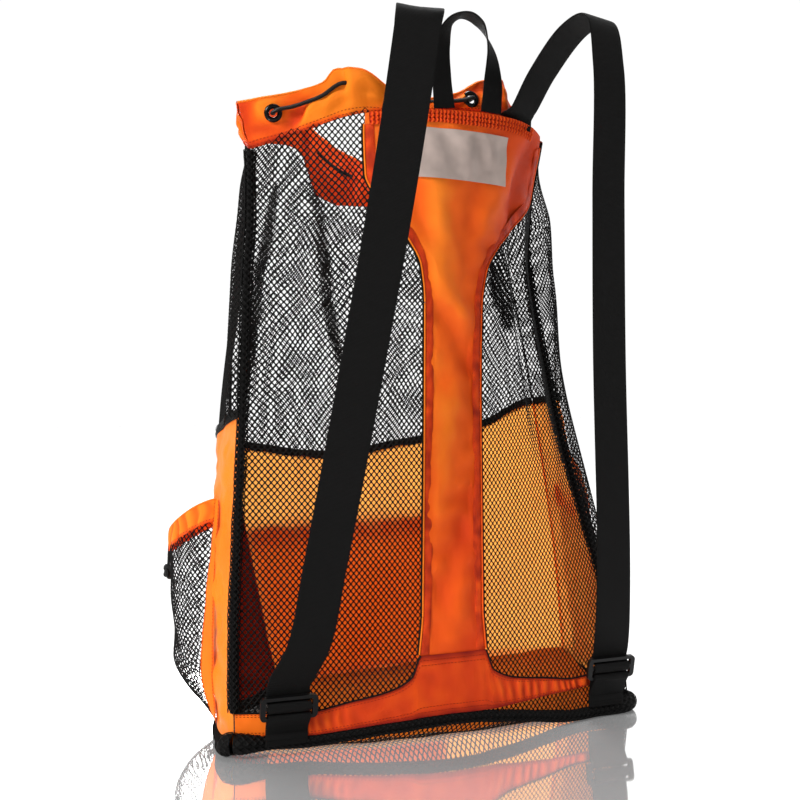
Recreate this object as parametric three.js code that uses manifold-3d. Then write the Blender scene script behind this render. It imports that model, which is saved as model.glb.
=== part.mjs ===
// Mesh backpack standing on its base: a nylon bucket with mesh walls above it, a nylon spine between two mesh
// windows on the back, two webbing straps, a haul loop and a drawstring collar round the open mouth.
// Millimetres, +Z up, +X to the right of someone facing the back panel, -Y towards that person.
// The origin is below the spine's axis at the middle of the base's depth, on the surface that the bag stands on.

import * as THREE from 'three';
import * as BufferGeometryUtils from 'three/addons/utils/BufferGeometryUtils.js';
import Module from 'manifold-3d';

const wasm = await Module();
wasm.setup();

// Cloth and clearances
const GAP = 0.3;
const WALL = 1.2;
const NYLON = 1.0;
const SEAM_RADIUS = 4.3;
const SEAM_CLEAR = 1.3;
const BASE_ROLL = 4.5;
const BASE_CLEAR = 0.5;
const WALL_FOOT = 2 * BASE_ROLL + BASE_CLEAR;
const OVERLAY_IN = WALL / 2 + GAP;
const OVERLAY_OUT = OVERLAY_IN + NYLON;
const TRIM_CLEAR = 0.7;
const SPINE_TRIM_IN = NYLON / 2 + TRIM_CLEAR;
const COLLAR_LIFT = 0.9;
const FRONT_RIM_DROP = 1.8;
const SEAM_FOOT = 3;

// Webbing, cords and hardware
const STRAP_WIDTH = 38;
const STRAP_THICK = 1.6;
const LOOP_WIDTH = 20;
const CORD_DIAMETER = 3.5;
const POCKET_CORD_DIAMETER = 3;
const KNOT_DIAMETER = 11;
const KNOT_CLEAR = 1.6;
const KNOT_SQUASH = 0.95;
const GROMMET_OUTER = 15.5;
const GROMMET_HOLE = 8;
const GROMMET_THICK = 1.6;
const GROMMET_CLEAR = 0.5;
const PUNCH_LENGTH = 12;

// Facets of the pieces: columns run along a piece, rows up it, steps along a roll, cord or webbing
const FACETS = {
  frontColumns: 10, sideColumns: 7, windowColumns: 7, panelRows: 5, meshRows: 10, windowFootRows: 3,
  spineColumns: 8, spineRows: 18, bandColumns: 34, bandRows: 2, shirredColumns: 16, patchColumns: 8, patchRows: 3,
  frontPocketColumns: 10, frontPocketRows: 4, pocketColumns: 10, pocketRows: 6, hemRows: 2, edgeColumns: 2,
  collarColumns: 58, collarRows: 3, seamSteps: 24, seamSides: 6, baseSides: 8, cordSteps: 34, pocketCordSteps: 5,
  cordSides: 8, strapSteps: 54, loopSteps: 32, roundSides: 20, punchSides: 12,
};

// Colours
const MESH_BLACK = new THREE.MeshStandardMaterial({ color: 0x14110f, roughness: 0.85, metalness: 0 });
const NYLON_ORANGE = new THREE.MeshStandardMaterial({ color: 0xf26a1b, roughness: 0.5, metalness: 0 });
const WEBBING_BLACK = new THREE.MeshStandardMaterial({ color: 0x161412, roughness: 0.8, metalness: 0 });
const PLASTIC_BLACK = new THREE.MeshStandardMaterial({ color: 0x0d0d0d, roughness: 0.4, metalness: 0 });
const METAL_BLACK = new THREE.MeshStandardMaterial({ color: 0x101010, roughness: 0.35, metalness: 0.8 });
const SILVER = new THREE.MeshStandardMaterial({ color: 0xcfc6bd, roughness: 0.35, metalness: 0.2 });

// Horizontal sections of the bag. h is the height as a share of the rim's height. Corners are back left (bl),
// back right (br), front right (fr) and front left (fl). backY is where the back stands on the spine's axis,
// and rightOut, frontOut and leftOut say how far those walls bulge past the straight line between corners.
const SECTIONS = [
  { h: 0.00, blX: -190, blY: -80, backY: -117, brX: 195, brY: -100, rightOut: 6, frX: 238, frY: 76,
    frontOut: 28, flX: -96, flY: 76, leftOut: 36 },
  { h: 0.12, blX: -190, blY: -77, backY: -117, brX: 192, brY: -90, rightOut: 10, frX: 234, frY: 80,
    frontOut: 30, flX: -112, flY: 80, leftOut: 33 },
  { h: 0.55, blX: -180, blY: -73, backY: -117, brX: 157, brY: -28, rightOut: 18, frX: 200, frY: 80,
    frontOut: 24, flX: -148, flY: 80, leftOut: 14 },
  { h: 0.79, blX: -176, blY: -74, backY: -121, brX: 135, brY: -17, rightOut: 38, frX: 168, frY: 72,
    frontOut: 16, flX: -143, flY: 72, leftOut: 4 },
  { h: 0.90, blX: -173, blY: -75, backY: -129, brX: 129, brY: -31, rightOut: 38, frX: 144, frY: 58,
    frontOut: 8, flX: -138, flY: 62, leftOut: 3 },
  { h: 1.00, blX: -173, blY: -75, backY: -136, brX: 107, brY: -88, rightOut: 12, frX: 100, frY: 38,
    frontOut: 4, flX: -136, flY: 52, leftOut: 4 },
];

// The rim and the collar on it, going round from the back left corner. at counts the sides passed: 0 back left,
// 1 back right, 2 front right, 3 front left. rim and top are heights; foot and lean say how far the collar's
// lower and upper edge stand outside the rim.
const COLLAR = [
  { at: 0.00, rim: 519, top: 558, foot: -1.2, lean: 12 },
  { at: 0.09, rim: 532, top: 567, foot: -1.2, lean: 4 },
  { at: 0.15, rim: 541, top: 574, foot: -1.2, lean: 6 },
  { at: 0.18, rim: 545, top: 585, foot: -1.2, lean: 9 },
  { at: 0.23, rim: 550, top: 584, foot: -3.0, lean: 5 },
  { at: 0.30, rim: 552, top: 570, foot: -5.5, lean: -3 },
  { at: 0.40, rim: 555, top: 566, foot: -6.5, lean: -8 },
  { at: 0.50, rim: 556, top: 572, foot: -6.5, lean: -9 },
  { at: 0.60, rim: 556, top: 585, foot: -6.5, lean: -11 },
  { at: 0.73, rim: 555, top: 591, foot: -6.5, lean: -15 },
  { at: 0.82, rim: 553, top: 577, foot: -6.0, lean: -20 },
  { at: 1.00, rim: 545, top: 557, foot: -2.0, lean: -24 },
  { at: 1.50, rim: 532, top: 556, foot: -1.2, lean: -16 },
  { at: 2.00, rim: 520, top: 553, foot: -1.2, lean: -5 },
  { at: 2.45, rim: 498, top: 540, foot: -1.2, lean: 0 },
  { at: 2.60, rim: 505, top: 550, foot: -1.2, lean: 0 },
  { at: 2.75, rim: 536, top: 577, foot: -1.2, lean: 0 },
  { at: 2.85, rim: 551, top: 589, foot: -1.2, lean: 0 },
  { at: 3.00, rim: 551, top: 588, foot: -1.2, lean: 0 },
  { at: 3.50, rim: 536, top: 571, foot: -1.2, lean: 5 },
  { at: 4.00, rim: 519, top: 558, foot: -1.2, lean: 12 },
];

// Soft folds of the walls: a ridge (out above 0) or hollow whose middle runs from t = low at the height h = from
// to t = high at h = to. width is its half width as a share of the side.
const FOLDS = [
  { side: 'back', low: 0.06, high: 0.13, from: 0.52, to: 0.98, width: 0.035, out: 6 },
  { side: 'back', low: 0.20, high: 0.11, from: 0.45, to: 0.98, width: 0.04, out: -7 },
  { side: 'back', low: 0.86, high: 0.76, from: 0.42, to: 0.92, width: 0.04, out: -8 },
  { side: 'back', low: 0.93, high: 0.86, from: 0.40, to: 0.92, width: 0.035, out: 6 },
  { side: 'right', low: 0.40, high: 0.50, from: 0.45, to: 0.98, width: 0.12, out: -6 },
  { side: 'front', low: 0.30, high: 0.36, from: 0.40, to: 0.98, width: 0.06, out: -7 },
  { side: 'front', low: 0.70, high: 0.62, from: 0.40, to: 0.98, width: 0.06, out: 7 },
  { side: 'left', low: 0.60, high: 0.50, from: 0.45, to: 0.98, width: 0.14, out: -5 },
];

// Reach of the spine panel to the left and right of its axis, by height
const SPINE = [
  { z: 81, left: 32, right: 32 },
  { z: 120, left: 29, right: 29 },
  { z: 300, left: 29, right: 29 },
  { z: 390, left: 30, right: 30 },
  { z: 422, left: 34, right: 36 },
  { z: 444, left: 46, right: 52 },
  { z: 477, left: 74, right: 92 },
  { z: 498, left: 84, right: 112 },
  { z: 525, left: 85, right: 107 },
  { z: 558, left: 84, right: 93 },
];

// Lower and upper edge of the band along the foot of the back, by distance from the spine's axis
const BASE_BAND = [
  { x: 0, low: 26, high: 80 },
  { x: 31, low: 25, high: 80 },
  { x: 40, low: 24, high: 61 },
  { x: 60, low: 23, high: 51 },
  { x: 95, low: 20, high: 44 },
  { x: 134, low: 16, high: 34 },
  { x: 186, low: 14, high: 33 },
];
const BAND_END = { left: 178, right: 183 };
const BAND_CROWD = 1.5;

// Top of the nylon bucket, going round as in the collar's table
const BUCKET = [
  { at: 1.00, top: 305 },
  { at: 2.00, top: 297 },
  { at: 2.17, top: 272 },
  { at: 2.44, top: 253 },
  { at: 2.69, top: 243 },
  { at: 3.00, top: 258 },
  { at: 4.00, top: 296 },
];
const BINDING_HEIGHT = 9;
const BINDING_THICK = 1.4;
const BINDING_IN = OVERLAY_IN + 0.3;

const SHIRRED = { low: 541, high: 555, left: -81, right: 89, thick: 1.4 };
const PATCH = { low: 497, high: 539, left: -44, right: 48 };
const FRONT_POCKET = { low: 25, high: 175, right: 105, seamClear: 6 };

// Side pockets. Shares run along the wall from its front corner; heights run from the front edge to the back edge.
// The left one has a nylon gusset along its back edge, and the right one runs on to the corner seam.
const POCKET = { front: 0.12, low: 15, hem: 20, taper: 55, fullness: 0.8 };
const POCKET_BACK = { left: 0.66, right: 0.93 };
const POCKET_BULGE = { left: 40, right: 29 };
const POCKET_GUSSET = { left: 13, right: 1.5 };
const GUSSET_REACH = 6;
const POCKET_TOP = [
  { u: 0.0, left: 204, right: 204 },
  { u: 0.5, left: 182, right: 190 },
  { u: 1.0, left: 216, right: 240 },
];
const POCKET_EDGE = { from: 0.672, to: 0.75 };
const POCKET_CORD = { u: 0.42, stand: 3.2, exit: 172, knot: 141, sway: 0.6 };

// Buckles: bars and slots counted up from the foot, along the buckle's own height
const BUCKLE = { width: 50, slot: 41, thick: 4, bar: 3, lowSlot: 6.5, highSlot: 5.5, corner: 4 };
const BUCKLE_HEIGHT = 3 * BUCKLE.bar + BUCKLE.lowSlot + BUCKLE.highSlot;
const BUCKLE_TILT = THREE.MathUtils.degToRad(11);
const BUCKLE_STAND = 10;
const TAB = {
  low: 12, stemTop: 27, stemThick: 3.2, footBevel: 1, headBevel: 3, loop: 1.5, barClear: 2.8,
  loopFrom: -40, loopTo: 150, width: STRAP_WIDTH - 1,
};

// How a strap leaves the rim (out and up from it), and its clearances where it threads the buckle
const SEWN_END = [
  { out: 3.0, up: 2.8 },
  { out: 7, up: 7 },
];
const THREAD = {
  behind: 1.9, before: 1.3, lead: 8, leadIn: 0.4, bend: 2, slotBack: 0.2, tailFront: 1.9, tailBack: 2.1,
};

// Straps: station by station from the sewn end over the top and down; the last run goes into the buckle.
// The yaws turn the webbing's width direction about the vertical at its sewn end and at its foot.
const STRAPS = {
  left: {
    tabX: -149, buckleZ: 46, sewnX: -53, yawTop: -7, yawFoot: -4,
    run: [
      { x: -59, y: -158, z: 579 },
      { x: -70, y: -194, z: 610 },
      { x: -79, y: -217, z: 610 },
      { x: -85, y: -217, z: 570 },
      { x: -92, y: -198, z: 480 },
      { x: -110, y: -161, z: 306 },
      { x: -128, y: -135, z: 165 },
      { x: -137, y: -122, z: 100 },
    ],
  },
  right: {
    tabX: 166, buckleZ: 50, sewnX: 59, yawTop: 27, yawFoot: -2,
    run: [
      { x: 72, y: -148, z: 592 },
      { x: 84, y: -181, z: 623 },
      { x: 91, y: -208, z: 626 },
      { x: 97, y: -213, z: 587 },
      { x: 112, y: -192, z: 480 },
      { x: 130, y: -168, z: 345 },
      { x: 152, y: -144, z: 164 },
      { x: 159, y: -133, z: 105 },
    ],
  },
};

const HAUL_LOOP = [
  { x: -18, out: 1.3, z: 556.3, yaw: 0 },
  { x: -21, out: 3, z: 582, yaw: 12 },
  { x: -22, out: 7, z: 612, yaw: 25 },
  { x: -15, out: 9, z: 629, yaw: 55 },
  { x: -2, out: 9, z: 635, yaw: 82 },
  { x: 11, out: 9, z: 629, yaw: 76 },
  { x: 23, out: 7, z: 609, yaw: 44 },
  { x: 28, out: 3, z: 582, yaw: 10 },
  { x: 27, out: 1.3, z: 556.3, yaw: 0 },
];

// Grommets by their share of the way round and up the collar
const GROMMETS = {
  left: { at: 0.05, up: 0.62 },
  right: { at: 0.55, up: 0.5 },
};

// Drawcord stations on the outside of the collar, between the two grommets; lift is its distance from the cloth
const DRAWCORD = [
  { at: 0.07, up: 0.62, lift: 3.7 },
  { at: 0.09, up: 0.62, lift: 1.6 },
  { at: 0.12, up: 0.64, lift: 0.8 },
  { at: 0.15, up: 0.66, lift: 0.6 },
  { at: 0.19, up: 0.68, lift: 0.6 },
  { at: 0.23, up: 0.66, lift: 0.6 },
  { at: 0.28, up: 0.7, lift: 0.4 },
  { at: 0.36, up: 0.7, lift: 0.4 },
  { at: 0.44, up: 0.65, lift: 0.4 },
  { at: 0.51, up: 0.55, lift: 2.6 },
];
const CORD_RISE = { left: 5.4, right: 3.2 };

const SIDES = ['back', 'right', 'front', 'left'];
const CORNERS = ['bl', 'br', 'fr', 'fl'];
const BASE_SHARES = [0.02, 0.12, 0.27, 0.42, 0.58, 0.73, 0.88, 0.98];
const FOLD_FADE = 12;
const ROW_CROWD = 1.5;
const HALVINGS = 24;
const LEVEL_PASSES = 4;

// Smooth value of one column of a table at a place along another, with no overshoot between rows
function column(rows, key, name, place) {
  let i = 0;
  while (i < rows.length - 2 && place > rows[i + 1][key]) i += 1;
  const slope = (k) => (rows[k + 1][name] - rows[k][name]) / (rows[k + 1][key] - rows[k][key]);
  const blend = (p, q) => (p * q > 0 ? (2 * p * q) / (p + q) : 0);
  const a = rows[i];
  const b = rows[i + 1];
  const span = b[key] - a[key];
  const s = THREE.MathUtils.clamp((place - a[key]) / span, 0, 1);
  const slopeA = span * (i > 0 ? blend(slope(i - 1), slope(i)) : slope(i));
  const slopeB = span * (i < rows.length - 2 ? blend(slope(i), slope(i + 1)) : slope(i));
  const s2 = s * s;
  const s3 = s2 * s;
  return (2 * s3 - 3 * s2 + 1) * a[name] + (s3 - 2 * s2 + s) * slopeA
    + (3 * s2 - 2 * s3) * b[name] + (s3 - s2) * slopeB;
}

function sectionValue(name, h) {
  return column(SECTIONS, 'h', name, h);
}

function corner(index, h) {
  const name = CORNERS[index % 4];
  return new THREE.Vector2(sectionValue(`${name}X`, h), sectionValue(`${name}Y`, h));
}

function rimHeight(side, t) {
  return column(COLLAR, 'at', 'rim', SIDES.indexOf(side) + t);
}

function bucketTop(side, t) {
  return column(BUCKET, 'at', 'top', SIDES.indexOf(side) + t);
}

function foldOffset(side, t, h) {
  let sum = 0;
  for (const fold of FOLDS) {
    if (fold.side !== side || h < fold.from || h > fold.to) continue;
    const along = (h - fold.from) / (fold.to - fold.from);
    const middle = THREE.MathUtils.lerp(fold.low, fold.high, along);
    const across = (t - middle) / fold.width;
    sum += fold.out * Math.exp(-across * across) * Math.sin(Math.PI * along);
  }
  return sum * Math.min(1, FOLD_FADE * t * (1 - t));
}

// A point of the bag's middle surface: side, share t along it, share h of the rim's height
function surface(side, t, h) {
  const index = SIDES.indexOf(side);
  const a = corner(index, h);
  const b = corner(index + 1, h);
  const z = h * rimHeight(side, t);
  const chord = b.clone().sub(a).normalize();
  const out = new THREE.Vector2(chord.y, -chord.x).multiplyScalar(foldOffset(side, t, h));
  if (side === 'back') {
    const x = a.x * 2 * (t - 0.5) * (t - 1) + b.x * 2 * t * (t - 0.5);
    const middle = sectionValue('backY', h) * 4 * t * (1 - t);
    const y = a.y * 2 * (t - 0.5) * (t - 1) + middle + b.y * 2 * t * (t - 0.5);
    return new THREE.Vector3(x + out.x, y + out.y, z);
  }
  const bulge = sectionValue(`${side}Out`, h) * 4 * t * (1 - t);
  const flat = a.lerp(b, t);
  return new THREE.Vector3(flat.x + chord.y * bulge + out.x, flat.y - chord.x * bulge + out.y, z);
}

function wallNormal(side, t, h) {
  const step = 0.01;
  const along = surface(side, Math.min(t + step, 1), h).sub(surface(side, Math.max(t - step, 0), h));
  const up = surface(side, t, Math.min(h + step, 1)).sub(surface(side, t, Math.max(h - step, 0)));
  return along.cross(up).normalize();
}

// A point standing off the wall by a distance along its outward normal
function wall(side, t, h, off) {
  return surface(side, t, h).addScaledVector(wallNormal(side, t, h), off);
}

// Share along the back at which it reaches a given x
function backShare(x, h) {
  let low = 0;
  let high = 1;
  for (let i = 0; i < HALVINGS; i += 1) {
    const middle = (low + high) / 2;
    if (surface('back', middle, h).x < x) low = middle;
    else high = middle;
  }
  return (low + high) / 2;
}

// Share along the back at which a level line at the height z reaches a given x
function levelShare(x, z) {
  let t = 0.5;
  for (let i = 0; i < LEVEL_PASSES; i += 1) t = backShare(x, z / rimHeight('back', t));
  return t;
}

// A point of the back by x and height, standing off its wall
function backPoint(x, z, off) {
  const t = levelShare(x, z);
  return wall('back', t, z / rimHeight('back', t), off);
}

// A closed body through rings of points; each ring's first half runs back along its second half
function loft(rings, closed = false) {
  const count = rings[0].length;
  const positions = [];
  for (const ring of rings) for (const point of ring) positions.push(point.x, point.y, point.z);
  const index = [];
  const quad = (a, b, c, d) => index.push(a, b, c, a, c, d);
  const spans = closed ? rings.length : rings.length - 1;
  for (let r = 0; r < spans; r += 1) {
    const here = r * count;
    const there = ((r + 1) % rings.length) * count;
    for (let i = 0; i < count; i += 1) {
      const j = (i + 1) % count;
      quad(here + i, there + i, there + j, here + j);
    }
  }
  if (!closed) {
    const end = (rings.length - 1) * count;
    for (let i = 0; i < count / 2 - 1; i += 1) {
      const j = count - 1 - i;
      quad(i, i + 1, j - 1, j);
      quad(end + i, end + j, end + j - 1, end + i + 1);
    }
  }
  const geometry = new THREE.BufferGeometry();
  geometry.setAttribute('position', new THREE.Float32BufferAttribute(positions, 3));
  geometry.setIndex(index);
  return faceOut(geometry);
}

function faceOut(geometry) {
  const place = geometry.getAttribute('position');
  const index = geometry.getIndex().array;
  const corners = [new THREE.Vector3(), new THREE.Vector3(), new THREE.Vector3()];
  let volume = 0;
  for (let i = 0; i < index.length; i += 3) {
    corners.forEach((point, k) => point.fromBufferAttribute(place, index[i + k]));
    volume += corners[0].dot(corners[1].clone().cross(corners[2]));
  }
  if (volume < 0) {
    for (let i = 0; i < index.length; i += 3) [index[i + 1], index[i + 2]] = [index[i + 2], index[i + 1]];
  }
  geometry.computeVertexNormals();
  return geometry;
}

// A cloth piece: place(u, v, skin) gives its inner (skin 0) and outer (skin 1) face
function cloth(place, columns, rows) {
  const rings = [];
  for (let i = 0; i <= columns; i += 1) {
    const ring = [];
    for (let j = 0; j <= rows; j += 1) ring.push(place(i / columns, j / rows, 1));
    for (let j = rows; j >= 0; j -= 1) ring.push(place(i / columns, j / rows, 0));
    rings.push(ring);
  }
  return loft(rings);
}

// Share of a side that the rolled seam at one of its ends takes up
function seamShare(side, end, h) {
  const step = 0.02;
  const along = surface(side, Math.abs(end - step), h).sub(surface(side, end, h));
  const seam = surface(side, end, Math.min(h + step, 1)).sub(surface(side, end, Math.max(h - step, 0)));
  const square = along.clone().cross(seam).length() / seam.length();
  return step * (SEAM_RADIUS + SEAM_CLEAR) / square;
}

// A wall between two corner seams, from the height low(t) to the height high(t); its rows crowd towards the top
function wallPiece(side, low, high, inner, outer, columns, rows) {
  return cloth((u, v, skin) => {
    const z = THREE.MathUtils.lerp(low(u), high(u), 1 - (1 - v) ** ROW_CROWD);
    const h = z / rimHeight(side, u);
    const t = THREE.MathUtils.lerp(seamShare(side, 0, h), 1 - seamShare(side, 1, h), u);
    return wall(side, t, z / rimHeight(side, t), skin ? outer : inner);
  }, columns, rows);
}

function roundSection(diameter, sides) {
  const points = [];
  for (let i = 0; i < sides; i += 1) {
    const angle = (2 * Math.PI * i) / sides;
    points.push(new THREE.Vector2(Math.cos(angle), Math.sin(angle)).multiplyScalar(diameter / 2));
  }
  return new THREE.Shape(points);
}

function tube(points, diameter, steps, sides = FACETS.cordSides) {
  const path = new THREE.CatmullRomCurve3(points, false, 'centripetal');
  const options = { steps, extrudePath: path, bevelEnabled: false };
  return new THREE.ExtrudeGeometry(roundSection(diameter, sides), options);
}

// Webbing along stations: each has a point and the direction of the webbing's width
function ribbon(stations, width, thick, steps) {
  const path = new THREE.CatmullRomCurve3(stations.map((s) => s.point), false, 'centripetal');
  const rings = [];
  for (let i = 0; i <= steps; i += 1) {
    const share = i / steps;
    const tangent = path.getTangent(share);
    const place = share * (stations.length - 1);
    const from = Math.min(Math.floor(place), stations.length - 2);
    const across = stations[from].across.clone().lerp(stations[from + 1].across, place - from);
    across.addScaledVector(tangent, -across.dot(tangent)).setLength(width / 2);
    const face = tangent.clone().cross(across).setLength(thick / 2);
    const middle = path.getPoint(share);
    rings.push([
      middle.clone().add(across).add(face),
      middle.clone().sub(across).add(face),
      middle.clone().sub(across).sub(face),
      middle.clone().add(across).sub(face),
    ]);
  }
  return loft(rings);
}

function yawDirection(degrees) {
  const angle = THREE.MathUtils.degToRad(degrees);
  return new THREE.Vector3(Math.cos(angle), Math.sin(angle), 0);
}

function solid(geometry) {
  const bare = geometry.clone();
  bare.deleteAttribute('normal');
  bare.deleteAttribute('uv');
  const merged = BufferGeometryUtils.mergeVertices(bare);
  return new wasm.Manifold(new wasm.Mesh({
    numProp: 3,
    vertProperties: new Float32Array(merged.getAttribute('position').array),
    triVerts: new Uint32Array(merged.getIndex().array),
  }));
}

function fromSolid(body) {
  const mesh = body.getMesh();
  const geometry = new THREE.BufferGeometry();
  geometry.setAttribute('position', new THREE.BufferAttribute(new Float32Array(mesh.vertProperties), 3));
  geometry.setIndex(new THREE.BufferAttribute(new Uint32Array(mesh.triVerts), 1));
  geometry.computeVertexNormals();
  return geometry;
}

const backpack = new THREE.Group();

function add(name, geometry, material, parent = backpack) {
  const mesh = new THREE.Mesh(geometry, material);
  mesh.name = name;
  parent.add(mesh);
  return mesh;
}

// Base: a flat floor inside a rolled seam
function addBase() {
  const outline = [];
  const rings = [];
  const path = [];
  for (const side of SIDES) {
    for (const t of BASE_SHARES) {
      path.push({ point: surface(side, t, 0), normal: wallNormal(side, t, 0).setZ(0).normalize() });
    }
  }
  const inset = BASE_ROLL + BASE_CLEAR;
  const step = Math.PI / FACETS.baseSides;
  const radius = BASE_ROLL / Math.cos(step);
  for (const { point, normal } of path) {
    const inside = point.clone().addScaledVector(normal, -inset);
    outline.push(new THREE.Vector2(inside.x, inside.y));
    const ring = [];
    for (let k = 0; k < FACETS.baseSides; k += 1) {
      const angle = step * (2 * k + 1);
      ring.push(point.clone().addScaledVector(normal, radius * Math.cos(angle))
        .setZ(BASE_ROLL + radius * Math.sin(angle)));
    }
    rings.push(ring);
  }
  const floor = new THREE.ExtrudeGeometry(new THREE.Shape(outline), { depth: WALL, bevelEnabled: false });
  add('base_mesh', floor, MESH_BLACK);
  add('base_seam', loft(rings, true), MESH_BLACK);
}

// Edges of the spine and height of its rows; the mesh windows beside it share both
const SPINE_FOOT = SPINE[0].z;
const SPINE_TOP = SPINE[SPINE.length - 1].z;

function spineEdge(sign, z) {
  return sign * column(SPINE, 'z', sign < 0 ? 'left' : 'right', z);
}

function spineRow(top, row) {
  return THREE.MathUtils.lerp(SPINE_FOOT + 2 * GAP, top - GAP, row / FACETS.spineRows);
}

// A mesh window from a corner seam to the spine; below the spine it reaches the middle of the back
function backWindow(sign) {
  const footRows = FACETS.windowFootRows;
  const rows = footRows + 1 + FACETS.spineRows;
  const end = sign < 0 ? 0 : 1;
  return cloth((u, v, skin) => {
    const row = Math.round(v * rows);
    const low = row <= footRows;
    const rimShare = THREE.MathUtils.lerp(end, backShare(spineEdge(sign, SPINE_TOP), 1), u);
    const top = rimHeight('back', rimShare);
    const footZ = THREE.MathUtils.lerp(WALL_FOOT, SPINE_FOOT, row / footRows);
    const z = low ? footZ : spineRow(top, row - footRows - 1);
    const edge = sign * GAP + (low ? 0 : spineEdge(sign, z));
    const atSeam = Math.abs(end - seamShare('back', end, z / rimHeight('back', end)));
    const t = THREE.MathUtils.lerp(atSeam, levelShare(edge, z), u);
    return wall('back', t, z / rimHeight('back', t), (skin - 0.5) * WALL);
  }, FACETS.windowColumns, rows);
}

function addWalls() {
  const half = WALL / 2;
  const foot = () => WALL_FOOT;
  add('back_mesh_left', backWindow(-1), MESH_BLACK);
  add('back_mesh_right', backWindow(1), MESH_BLACK);
  const names = { right: 'side_panel_right', front: 'front_panel', left: 'side_panel_left' };
  const meshNames = { right: 'side_mesh_right', front: 'front_mesh', left: 'side_mesh_left' };
  for (const side of ['right', 'front', 'left']) {
    const split = (t) => bucketTop(side, t);
    const columns = side === 'front' ? FACETS.frontColumns : FACETS.sideColumns;
    const panelTop = (t) => split(t) - GAP / 2;
    const meshFoot = (t) => split(t) + GAP / 2;
    const rim = (t) => rimHeight(side, t) - (side === 'front' ? FRONT_RIM_DROP : 0);
    add(names[side], wallPiece(side, foot, panelTop, -half, half, columns, FACETS.panelRows), NYLON_ORANGE);
    add(meshNames[side], wallPiece(side, meshFoot, rim, -half, half, columns, FACETS.meshRows), MESH_BLACK);
    const low = (t) => split(t) - BINDING_HEIGHT / 2;
    const high = (t) => split(t) + BINDING_HEIGHT / 2;
    const outer = BINDING_IN + BINDING_THICK;
    add(`binding_${side}`, wallPiece(side, low, high, BINDING_IN, outer, columns, 1), MESH_BLACK);
  }
}

function addCornerSeams() {
  const names = ['seam_back_left', 'seam_back_right', 'seam_front_right', 'seam_front_left'];
  names.forEach((name, index) => {
    const rim = column(COLLAR, 'at', 'rim', index);
    const count = FACETS.seamSteps;
    const foot = WALL_FOOT + SEAM_FOOT;
    const points = [surface(SIDES[index], 0, foot / rim).setZ(WALL_FOOT)];
    for (let i = 0; i <= count; i += 1) {
      const z = THREE.MathUtils.lerp(foot, rim - SEAM_RADIUS, i / count);
      points.push(surface(SIDES[index], 0, z / rim));
    }
    add(name, tube(points, 2 * SEAM_RADIUS, count, FACETS.seamSides), MESH_BLACK);
  });
}

// A piece lying on the spine, between two x and two heights
function spinePiece({ left, right }, low, high, thick, columns, rows) {
  return cloth((u, v, skin) => {
    const x = THREE.MathUtils.lerp(left, right, u);
    return backPoint(x, THREE.MathUtils.lerp(low(x), high(x), v), SPINE_TRIM_IN + skin * thick);
  }, columns, rows);
}

function addBackTrim() {
  const spineTop = (x) => rimHeight('back', backShare(x, 1));
  const spine = cloth((u, v, skin) => {
    const across = (z) => THREE.MathUtils.lerp(spineEdge(-1, z), spineEdge(1, z), u);
    const z = spineRow(spineTop(across(SPINE_TOP)), Math.round(v * FACETS.spineRows));
    return backPoint(across(z), z, (skin - 0.5) * NYLON);
  }, FACETS.spineColumns, FACETS.spineRows);
  add('spine_panel', spine, NYLON_ORANGE);

  const bandLow = (x) => column(BASE_BAND, 'x', 'low', Math.abs(x));
  const bandHigh = (x) => column(BASE_BAND, 'x', 'high', Math.abs(x));
  const band = cloth((u, v, skin) => {
    const s = 2 * u - 1;
    const x = (s < 0 ? -BAND_END.left : BAND_END.right) * Math.abs(s) ** BAND_CROWD;
    return backPoint(x, THREE.MathUtils.lerp(bandLow(x), bandHigh(x), v), skin ? OVERLAY_OUT : OVERLAY_IN);
  }, FACETS.bandColumns, FACETS.bandRows);
  add('base_band', band, NYLON_ORANGE);

  const shirredTop = (x) => Math.min(SHIRRED.high, spineTop(x) - GAP);
  const shirredLow = (x) => shirredTop(x) - (SHIRRED.high - SHIRRED.low);
  const shirred = spinePiece(SHIRRED, shirredLow, shirredTop, SHIRRED.thick, FACETS.shirredColumns, 1);
  add('shirred_band', shirred, NYLON_ORANGE);
  const patch = spinePiece(PATCH, () => PATCH.low, () => PATCH.high, NYLON, FACETS.patchColumns, FACETS.patchRows);
  add('reflective_patch', patch, SILVER);

  const pocket = cloth((u, v, skin) => {
    const z = THREE.MathUtils.lerp(FRONT_POCKET.low, FRONT_POCKET.high, v);
    const h = z / rimHeight('front', 0.5);
    const right = corner(2, h).x;
    const width = right - corner(3, h).x;
    const seam = seamShare('front', 1, h) + FRONT_POCKET.seamClear / width;
    const t = THREE.MathUtils.lerp((right - FRONT_POCKET.right) / width, 1 - seam, u);
    return wall('front', t, z / rimHeight('front', t), skin ? OVERLAY_OUT : OVERLAY_IN);
  }, FACETS.frontPocketColumns, FACETS.frontPocketRows);
  add('front_pocket', pocket, NYLON_ORANGE);
}

// How far a side pocket has opened at a height, from 0 at its foot to 1
function pocketLift(z) {
  return Math.sin((Math.PI / 2) * THREE.MathUtils.clamp((z - POCKET.low) / POCKET.taper, 0, 1));
}

// A side pocket's surface: u runs from its front edge to its back edge, out is how far it stands off the wall
function pocketPoint(side, u, z, out) {
  const share = THREE.MathUtils.lerp(POCKET.front, POCKET_BACK[side], u);
  const t = side === 'left' ? share : 1 - share;
  const belly = (Math.sin(Math.PI * u) * pocketLift(z)) ** POCKET.fullness;
  const gusset = POCKET_GUSSET[side] * pocketLift(z) * u ** GUSSET_REACH;
  return wall(side, t, z / rimHeight(side, t), OVERLAY_IN + POCKET_BULGE[side] * belly + gusset + out);
}

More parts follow.
